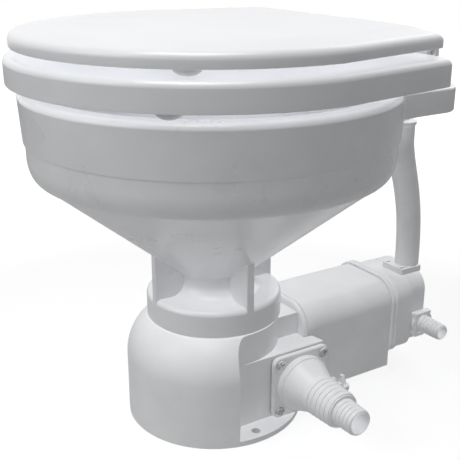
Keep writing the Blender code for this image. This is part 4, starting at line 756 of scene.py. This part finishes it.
# rinse pump: flange with a groove between two beads, body, end cover and screws
pump = SimpleNamespace(
    flange=(0.203, 0.2137), split=0.2075, groove=0.0009, flangeHalf=0.050,
    flangeLow=0.019, flangeTop=0.1075, flangeRound=0.0285, lowRound=0.014,
    bead=0.0014, body=(0.214, 0.2387), half=0.043, low=0.016, top=0.105,
    round=0.026, end=(0.239, 0.2615), endHalf=0.040, endLow=0.019,
    endRound=0.023, chamber=0.027, chamberFront=0.21935, shaft=0.055,
    screws=((0.031, 0.0345), (0.031, 0.0865)), screwHole=(0.0033, 0.200, 0.2645),
    edge=0.0008, coreInset=0.001, coreScale=0.97, chamberRear=0.2417,
    seats=((0.0093, 0.200, 0.2086), (0.0043, 0.2086, 0.2167)),
    shaftHole=(0.0043, 0.211, 0.222),
    # water ways in the end cover: radius, low and high end, place and axis
    ways=((0.0055, -0.0235, overrun, (0.040, 0.254, 0.045), "X", 32),
          (0.0035, -overrun, 0.0165, (0.022, 0.239, 0.045), "Y", 24),
          (0.0055, 0.0645, 0.108, (0.020, 0.248, 0), "Z", 32),
          (0.0035, -overrun, 0.0165, (0.020, 0.239, 0.070), "Y", 24)),
    screwFoot=0.211, screwRadius=0.003, cross=(0.2634, 0.2680, 0.0028, 0.001),
)


def pumpScrewPlaces():
    return [(side * x, z) for side in (-1, 1) for x, z in pump.screws]


def makePump():
    p = pump
    shaft = (0, 0, p.shaft)
    front, rear = p.flange
    section = housingSection(p.flangeHalf, p.flangeLow, p.flangeTop, p.flangeRound, p.lowRound, 20)
    inset = [(x * p.coreScale, p.shaft + (z - p.shaft) * p.coreScale) for x, z in section]
    flange = soften(slab("pump_plate", section, "XZ", front, p.split), p.bead, 5)
    bead = slab("rearBead", section, "XZ", p.split + p.groove, rear)
    soften(bead, p.bead * 1.8, 6)
    weldOn(flange, slab("core", inset, "XZ", front + p.coreInset, rear - p.coreInset), bead)
    carve(flange, lathe("seats", stepped(p.seats), shaft, "Y", 48))
    body = slab("pump_chamber", housingSection(p.half, p.low, p.top, p.round,
                                               p.lowRound, 20), "XZ", *p.body)
    soften(body, p.edge, 3)
    carve(body, rod("chamber", p.chamber, p.chamberFront, p.chamberRear, shaft, "Y", 96),
          rod("shaftHole", *p.shaftHole, shaft, "Y", 32))
    cap = slab("pump_cap", housingSection(p.endHalf, p.endLow, p.top, p.endRound,
                                          p.lowRound, 20), "XZ", *p.end)
    soften(cap, p.edge * 1.5, 4)
    carve(cap, *[rod("waterWay", *way) for way in p.ways])
    for x, z in pumpScrewPlaces():
        for piece in (flange, body, cap):
            carve(piece, rod("screwHole", *p.screwHole, (x, 0, z), "Y"))
    mould(flange, "pump_flange")
    mould(body, "pump_body")
    mould(cap, "pump_end_cover")

    foot, radius = p.screwFoot, p.screwRadius
    line = [(0, foot), (radius, foot), (radius, 0.2619), (0.0046, 0.2619), (0.005, 0.2623),
            (0.005, 0.2636), (0.0045, 0.2643), (radius, 0.2647), (0, 0.2648)]
    screw = lathe("pump_screw", line, (0, 0, 0), "Y", 32)
    cutCross(screw, 1, *p.cross)
    setScrews(screw, "pump_screw_head_", "pump_screw_", [(x, 0, z) for x, z in pumpScrewPlaces()])


# intake: barb in a square block, held by a sliding clip
intake = SimpleNamespace(
    block=(0.0403, 0.0453), centre=(0.254, 0.045), halfY=0.0125, halfZ=0.014,
    collar=0.0145, collarLength=0.0025, barbs=(0.0025, 0.033, 0.0102, 0.0093, 6),
    depth=0.0016, bore=0.0072, boreEnd=-0.015, clipDepth=0.0035, clipBar=0.0034,
    clipSide=0.0042, corner=0.002, edge=0.0005, clipEdge=0.0004, tipEdge=0.0003,
)


def makeIntake():
    n = intake
    y, z = n.centre
    low, face = n.block
    edge, ease = n.edge, n.tipEdge
    block = slab("intake_block", roundedBox(n.halfY, n.halfZ, n.corner, (y, z), 3), "YZ",
                 low, face)
    soften(block, edge, 2)
    back, front = face - 0.001, face + n.clipDepth
    left, right = y - n.halfY, y + n.halfY
    foot, top = z - n.halfZ, z + n.halfZ
    bar = n.clipBar
    clip = [cuboid("clipTop", (back, left, top - bar), (front, right - n.corner, top)),
            cuboid("clipSide", (back, left, foot), (front, left + n.clipSide, top)),
            cuboid("clipFoot", (back, left, foot - 0.0005), (front, y + 0.002, foot + bar))]
    for piece in clip:
        soften(piece, n.clipEdge, 2)
    weldOn(block, *clip)
    line = [(0, -0.002), (n.collar, -0.002), (n.collar, n.collarLength - edge),
            (n.collar - edge, n.collarLength)]
    line += barbLine(*n.barbs, n.depth)[:-1]
    tip = n.barbs[1]
    end = n.barbs[3] - n.depth
    line += [(end, tip - ease), (end - ease, tip), (0, tip)]
    weldOn(block, lathe("barb", line, (face, y, z), "X", 64))
    carve(block, rod("bore", n.bore, n.boreEnd, tip + overrun, (face, y, z), "X", 48))
    return mould(block, "intake_port")


# outlet on top of the pump: foot with a clip, and a barb inside the hose
outlet = SimpleNamespace(
    centre=(0.020, 0.248), low=0.1053, height=0.007, halfX=0.0165, halfY=0.015,
    foot=(0.0175, 0.243), corner=0.002, edge=0.0006,
    slotX=(-0.0125, 0.0105), slotY=(-0.0135, -0.006), slotWidth=0.0025, slotDepth=0.004,
    neck=(0.0092, 0.0035, 0.0071), tip=(0.0086, 0.021), boreTop=0.024,
    barbs=(0.0073, 0.021, 0.0104, 0.0101, 3), depth=0.0012, bore=0.0072,
)


def makeOutlet():
    o = outlet
    low = o.low
    top = low + o.height
    place = (*o.centre, low)
    footX, footY = o.foot
    foot = slab("outlet_foot", roundedBox(o.halfX, o.halfY, o.corner, o.foot, 3), "XY", low, top)
    soften(foot, o.edge, 2)
    front, rear = o.slotY
    for left in o.slotX:  # for the clip's legs
        carve(foot, cuboid("clipSlot", (footX + left, footY + front, top - o.slotDepth),
                           (footX + left + o.slotWidth, footY + rear, top + overrun)))
    neck, neckLow, neckTop = o.neck
    end, tip = o.tip
    line = [(0, neckLow), (neck, neckLow), (neck, neckTop)]
    line += barbLine(*o.barbs, o.depth) + [(end, tip), (0, tip)]
    weldOn(foot, lathe("barb", line, place, "Z", 48))
    carve(foot, rod("bore", o.bore, -overrun, o.boreTop, place, steps=48))
    return mould(foot, "outlet_fitting")


# spigot in the shelf, and the hose that climbs to it from the pump
spigot = SimpleNamespace(
    place=(0.067, 0.1795, 0.316), drop=0.024, collar=0.0145, shaft=0.007,
    bore=0.0045, barb=0.0104, tip=0.036, edge=0.0006, collarHeight=0.004,
    top=0.011,
)
hose = SimpleNamespace(
    foot=(0.020, 0.248, 0.1126), head=(0.067, 0.1795, 0.2917), straight=(0.014, 0.012),
    pull=(0.078, 0.030), endPull=0.004, radius=0.0134, wall=0.0023, edge=0.0005,
)


def makeSpigot():
    s = spigot
    drop, edge, tip, top = -s.drop, s.edge, -s.tip, s.top
    bore, barb, collar, shaft = s.bore, s.barb, s.collar, s.shaft
    upper = drop + s.collarHeight
    line = [(bore, tip), (barb - 0.0015, tip), (barb - 0.0008, tip + edge), (barb, drop - edge),
            (barb, drop), (collar - edge, drop), (collar, drop + edge), (collar, upper - edge),
            (collar - edge, upper), (shaft + edge, upper), (shaft, upper + edge), (shaft, top),
            (bore, top)]
    piece = lathe("shelf_spigot", ring(line), s.place)
    return mould(piece, "inlet_spigot")


def makeHose():
    h = hose
    clearSelection()
    bpy.ops.curve.primitive_bezier_curve_add()
    path = bpy.context.object
    path.name = "rinse_tube"
    foot, head = Vector(h.foot), Vector(h.head)
    low = foot + Vector((0, 0, h.straight[0]))
    high = head - Vector((0, 0, h.straight[1]))
    spline = path.data.splines[0]
    spline.bezier_points.add(2)
    (pullLow, pullHigh), short = h.pull, h.endPull
    reach = [(foot, short, short), (low, short, pullLow), (high, pullHigh, short),
             (head, short, short)]
    for point, (place, before, after) in zip(spline.bezier_points, reach):
        point.handle_left_type = "FREE"
        point.handle_right_type = "FREE"
        point.co = place
        point.handle_left = place - Vector((0, 0, before))
        point.handle_right = place + Vector((0, 0, after))
    path.data.dimensions = "3D"
    path.data.resolution_u = 40
    path.data.bevel_depth = h.radius
    path.data.bevel_resolution = 14
    focusOn(path)
    bpy.ops.object.convert(target="MESH")
    tube = bpy.context.object
    bpy.ops.object.transform_apply(location=True, rotation=True, scale=True)
    bpy.ops.object.mode_set(mode="EDIT")
    tidyMesh()
    step = tube.modifiers.new("wall", "SOLIDIFY")
    step.thickness = h.wall
    step.offset = -1
    bpy.ops.object.modifier_apply(modifier=step.name)
    soften(tube, h.edge, 2, 60)
    return dress(tube, "base", "vinyl", "rinse_hose", smooth=40)


makePump()
makeIntake()
makeOutlet()
makeSpigot()
makeHose()
print("pump, ports and hose made")


# seat and lid: sprayed boards with a round front and a straight rear edge
board = SimpleNamespace(
    seat=SimpleNamespace(radius=0.1874, rear=0.139, rearHalf=0.169, corner=0.008, low=0.347,
                         top=0.3715, round=0.006, softLow=0.0012),
    opening=SimpleNamespace(halfX=0.108, halfY=0.118, centre=-0.014),
    lid=SimpleNamespace(radius=0.1815, rear=0.138, rearHalf=0.158, corner=0.008, low=0.3784,
                        shoulder=0.3914, top=0.3946, round=0.0065, softLow=0.0012),
    crown=SimpleNamespace(radius=0.136, rear=0.1315, rearHalf=0.112, corner=0.004),
    tangent=3.06, frontSteps=96, cornerSteps=8, rearSteps=24, sideSteps=6,
)


def boardOutline(size, inset=0.0):
    # every outline has the same number of points, so that one can be drawn out into the next
    turn = board.tangent
    front = arcPoints((0, 0), size.radius - inset, -180 - turn, turn, board.frontSteps)
    right, rear = size.rearHalf - inset, size.rear - inset
    lean = math.atan2(front[-1][0] - right, rear - front[-1][1])
    corner = size.corner
    middle = (right - corner * (1 + math.tan(lean / 2)), rear - corner)
    bend = arcPoints(middle, corner, math.degrees(lean), 90, board.cornerSteps)
    start, end = front[-1], bend[0]
    side = [(start[0] + (end[0] - start[0]) * i / board.sideSteps,
             start[1] + (end[1] - start[1]) * i / board.sideSteps)
            for i in range(1, board.sideSteps)]
    half = board.rearSteps // 2
    back = [(middle[0] * (1 - i / half), rear) for i in range(1, half)]
    run = side + bend + back
    return front + run + [(0, rear)] + mirrored(run)


def openingOutline(outline, spread=0.0):
    o = board.opening
    scale = 1 + spread / o.halfX
    line = []
    for x, y in outline:
        turn = math.atan2(y - o.centre, x)
        line.append((scale * o.halfX * math.cos(turn),
                     o.centre + scale * o.halfY * math.sin(turn)))
    return line


def loft(name, rings, capped):
    # the first ring is drawn, then extruded ring by ring, and each copy is set to its own line
    rings = [[(x, y, height) for x, y in outline] for outline, height in rings]
    piece = drawLine(name, ring(rings[0]))
    bpy.ops.mesh.remove_doubles(threshold=weld)
    bpy.ops.mesh.select_all(action="SELECT")
    if capped:
        bpy.ops.mesh.edge_face_add()
    for below, above in zip(rings, rings[1:]):
        bpy.ops.mesh.extrude_region_move(TRANSFORM_OT_translate={"value": (0, 0, 0)})
        shape = bmesh.from_edit_mesh(piece.data)
        for point in [vert for vert in shape.verts if vert.select]:
            nearest = min(range(len(below)), key=lambda i: (point.co.x - below[i][0]) ** 2
                          + (point.co.y - below[i][1]) ** 2)
            point.co = above[nearest]
        bmesh.update_edit_mesh(piece.data)
    tidyMesh()
    return piece


def edgeRings(size, makeLine, high, steps=8):
    # a rounded upper edge, as insets and heights
    rows = []
    for i in range(1, steps + 1):
        turn = math.radians(90 * i / steps)
        rows.append((makeLine(size.round * (1 - math.cos(turn))),
                     high - size.round * (1 - math.sin(turn))))
    return rows


def softRings(size, makeLine):
    # the small rounding at the foot of an edge, as outlines and heights
    soft, low = size.softLow, size.low
    return [(makeLine(soft), low), (makeLine(soft * 0.3), low + soft * 0.3),
            (makeLine(0.0), low + soft)]


def makeSeat():
    s = board.seat
    plainEdge = boardOutline(s)

    def outside(inset):
        return boardOutline(s, inset)

    def inside(inset):
        return openingOutline(plainEdge, inset)

    shoulder = s.top - s.round
    rings = softRings(s, outside) + [(plainEdge, shoulder)] + edgeRings(s, outside, s.top)
    rings += list(reversed(edgeRings(s, inside, s.top)))
    rings += [(inside(0.0), shoulder)] + list(reversed(softRings(s, inside))) + [rings[0]]
    piece = loft("seat_board", rings, False)
    return dress(piece, "seat", "enamel", "seat")


def makeLid():
    s = board.lid

    def outside(inset):
        return boardOutline(s, inset)

    rings = softRings(s, outside) + [(outside(0.0), s.shoulder - s.round)]
    rings += edgeRings(s, outside, s.shoulder)
    rim, top = outside(s.round), boardOutline(board.crown)
    rise = s.top - s.shoulder
    for i in range(1, 7):  # a nearly straight slope with a soft turn at its top
        share = i / 6
        line = [(a[0] + (b[0] - a[0]) * share, a[1] + (b[1] - a[1]) * share)
                for a, b in zip(rim, top)]
        rings.append((line, s.shoulder + rise * math.sin(share * math.pi / 2) ** 1.3))
    piece = loft("lid_board", rings, True)
    return dress(piece, "lid", "enamel", "lid", smooth=40)


# bumpers under the seat and the lid: reach, angle, low end and top
bumper = {"radius": 0.0115, "seat": (0.1680, -42.0, 0.3393, 0.3467),
          "lid": (0.1660, -37.2, 0.3718, 0.3781)}


def makeBumpers():
    for name in ("seat", "lid"):
        reach, angle, low, top = bumper[name]
        dome = [(bumper["radius"] * math.sin(turn), top - (top - low) * math.cos(turn))
                for turn in (math.pi / 2 * i / 12 for i in range(13))]
        for number, way in enumerate((math.radians(angle), math.radians(180 - angle)), 1):
            pad = lathe(name + "_pad_" + str(number), dome + [(0, top)],
                        (reach * math.cos(way), reach * math.sin(way), 0), "Z", 48)
            dress(pad, name, "pale_rubber", name + "_bumper_" + str(number))


# hinge: posts on the shelf, yokes under both boards and a rod through all knuckles
hinge = SimpleNamespace(
    axis=(0.152, 0.371), knuckle=0.008, rod=0.003, rodEdge=0.0005,
    rodHole=(0.0033, -0.135, 0.135), postHalf=0.007, posts=(0.104, 0.128),
    foot=0.3393, stud=(0.004, 0.3167, 0.345), nutEdge=0.0008, clear=0.0003,
    nut=(0.3167, 0.3247, 0.009), leaf=0.0034, seatTop=0.3467, lidTop=0.3781,
    seatRear=0.139, lidRear=0.138, reach=0.040, seatLeaf=(0.088, 0.1037),
    lidLeaf=(0.072, 0.0877), bar=(0.120, 0.132), edge=0.0006,
)


def knuckleLine(start, end, count=20):
    return arcPoints(hinge.axis, hinge.knuckle, start, end, count)


def rodHole():
    return rod("rodHole", *hinge.rodHole, (0, *hinge.axis), "X", 32)


def makeHinge():
    h = hinge
    y, z = h.axis
    side = [(y - h.postHalf, h.foot), (y + h.postHalf, h.foot)] + knuckleLine(0, 180)
    for number, sign in ((1, 1), (2, -1)):
        low, high = sorted((sign * h.posts[0], sign * h.posts[1]))
        post = soften(slab("post_" + str(number), side, "YZ", low, high), h.edge * 1.6, 3)
        place = ((low + high) / 2, y, 0)
        weldOn(post, rod("stud", *h.stud, place, steps=32))
        carve(post, rodHole())
        mould(post, "hinge_post_" + str(number))
        (nutLow, nutTop, radius), edge = h.nut, h.nutEdge
        bore, waist = h.stud[0] + h.clear, radius - edge * 1.5
        nut = lathe("hand_nut_" + str(number),
                    ring([(bore, nutLow), (radius - edge, nutLow), (radius, nutLow + edge),
                          (radius, nutTop - 2 * edge), (waist, nutTop - edge), (waist, nutTop),
                          (bore, nutTop)]), place, "Z", 6)
        soften(nut, edge / 2, 2)
        dress(nut, "base", "stainless", "hinge_nut_" + str(number))
    radius, edge, end = h.rod, h.rodEdge, h.posts[1]
    pivot = lathe("pivot_rod", [(0, -end), (radius - edge, -end), (radius, edge - end),
                                (radius, end - edge), (radius - edge, end), (0, end)],
                  (0, y, z), "X", 32)
    dress(pivot, "base", "stainless", "hinge_rod")

    seatTop, lidTop = h.seatTop, h.lidTop
    seatSide = [(h.seatRear - h.reach, seatTop - h.leaf),
                (y - h.postHalf, seatTop - h.leaf),
                (y + h.knuckle / 2, z - 2 * h.knuckle)] + knuckleLine(0, 180) + [
                    (y - h.knuckle, seatTop + 0.0083), (h.seatRear + 0.002, seatTop),
                    (h.seatRear - h.reach, seatTop)]
    lidSide = [(h.lidRear - h.reach, lidTop - h.leaf),
               (y - h.knuckle, lidTop - h.leaf)] + knuckleLine(198, 480) + [
                   (h.lidRear - h.reach, lidTop)]
    for name, line, (inner, outer), top, body, node in (
            ("seat_yoke", seatSide, h.seatLeaf, seatTop, "seat", "seat_hinge"),
            ("lid_yoke", lidSide, h.lidLeaf, lidTop, "lid", "lid_hinge")):
        yoke = soften(slab(name, line, "YZ", inner, outer), h.edge, 2)
        twin = copyPiece(yoke, "farLeaf", mirror=0)
        end, gap = outer - h.clear, h.clear
        bar = cuboid("crossBar", (-end, h.bar[0], top - h.leaf + gap), (end, h.bar[1], top - gap))
        weldOn(yoke, twin, bar)
        carve(yoke, rodHole())
        dress(yoke, body, "white_plastic", node)


makeSeat()
makeLid()
makeBumpers()
makeHinge()
print("seat, lid and hinge made")

# solids that stay as they are get their own finish
for entry in frame["record"]["subparts"]:
    solid = nodes[entry["node"]]
    for place in solid.material_slots:
        place.material = finishes[entry["material_slot"]]
print("finishes set")


# camera at the photograph's place, found from its straight edges and circles
camera = bpy.data.objects.new("photoCamera", bpy.data.cameras.new("photoCamera"))
bpy.context.scene.collection.objects.link(camera)
camera.data.lens = 64.404
camera.data.sensor_width = 36
camera.location = (0.658996, -0.395965, 0.46784)
camera.rotation_euler = Vector((-0.7967, 0.5022, -0.3361)).to_track_quat("-Z", "Y").to_euler()
bpy.context.scene.camera = camera


# plain studio: pale floor, soft lamps, and a world that shows white behind the object;
# each lamp has its power, size, place and target, and whether it casts a shadow
studio = {
    "overhead": (16.0, 0.9, (0.2, -0.35, 1.8), (0, 0, 0.1), False),
    "leftPanel": (6.5, 1.0, (-0.1, -1.5, 1.2), (0, 0, 0.2), True),
    "rearPanel": (3.8, 1.2, (-0.3, 1.3, 1.0), (0, 0.1, 0.15), True),
    "room": 0.2, "floorSize": 6, "floorGlow": (0.55, 1.0), "glowReach": (0.45, 1.3),
}


def makeLamp(name, power, size, place, target, shadow):
    data = bpy.data.lights.new(name, "AREA")
    data.energy = power
    data.size = size
    data.use_shadow = shadow  # without one it reaches evenly under the bowl
    lamp = bpy.data.objects.new(name, data)
    bpy.context.scene.collection.objects.link(lamp)
    lamp.location = place
    lamp.rotation_euler = (Vector(target) - Vector(place)).to_track_quat("-Z", "Y").to_euler()


def makeStudio():
    for name in ("overhead", "leftPanel", "rearPanel"):
        makeLamp(name, *studio[name])
    world = bpy.data.worlds.new("paleRoom")
    bpy.context.scene.world = world
    world.use_nodes = True
    tree = world.node_tree
    back = tree.nodes["Background"]
    back.inputs["Color"].default_value = (1, 1, 1, 1)
    light = addNode(tree, "ShaderNodeLightPath", {})
    seen = addNode(tree, "ShaderNodeMath", {"operation": "MAXIMUM"},
                   {0: light.outputs["Is Camera Ray"], 1: light.outputs["Is Transmission Ray"]})
    mirrored = addNode(tree, "ShaderNodeMath", {"operation": "MAXIMUM"},
                       {0: seen.outputs["Value"], 1: light.outputs["Is Glossy Ray"]})
    level = addNode(tree, "ShaderNodeMapRange", {"To Min": studio["room"], "To Max": 1.0},
                    {"Value": mirrored.outputs["Value"]})
    tree.links.new(level.outputs["Result"], back.inputs["Strength"])

    clearSelection()
    bpy.ops.mesh.primitive_plane_add(size=studio["floorSize"])
    floor = bpy.context.object
    floor.name = "studio_floor"
    paleFloor, tree, shader = newMaterial("paleFloor", {"Roughness": 0.7,
                                                        "Specular IOR Level": 0.1})
    shader.inputs["Base Color"].default_value = linear("#c4c4c4")
    light = addNode(tree, "ShaderNodeLightPath", {})
    place = addNode(tree, "ShaderNodeTexCoord", {})
    away = addNode(tree, "ShaderNodeVectorMath", {"operation": "LENGTH"},
                   {0: place.outputs["Object"]})
    (near, far), (glowNear, glowFar) = studio["glowReach"], studio["floorGlow"]
    whiter = addNode(tree, "ShaderNodeMapRange", {"From Min": near, "From Max": far,
                                                  "To Min": glowNear, "To Max": glowFar},
                     {"Value": away.outputs["Value"]})
    glow = addNode(tree, "ShaderNodeMath", {"operation": "MULTIPLY"},
                   {0: light.outputs["Is Camera Ray"], 1: whiter.outputs["Result"]})
    shader.inputs["Emission Color"].default_value = (1, 1, 1, 1)
    tree.links.new(glow.outputs["Value"], shader.inputs["Emission Strength"])
    floor.data.materials.append(paleFloor)


makeStudio()
bpy.context.scene.view_settings.view_transform = "Standard"
print("studio made")
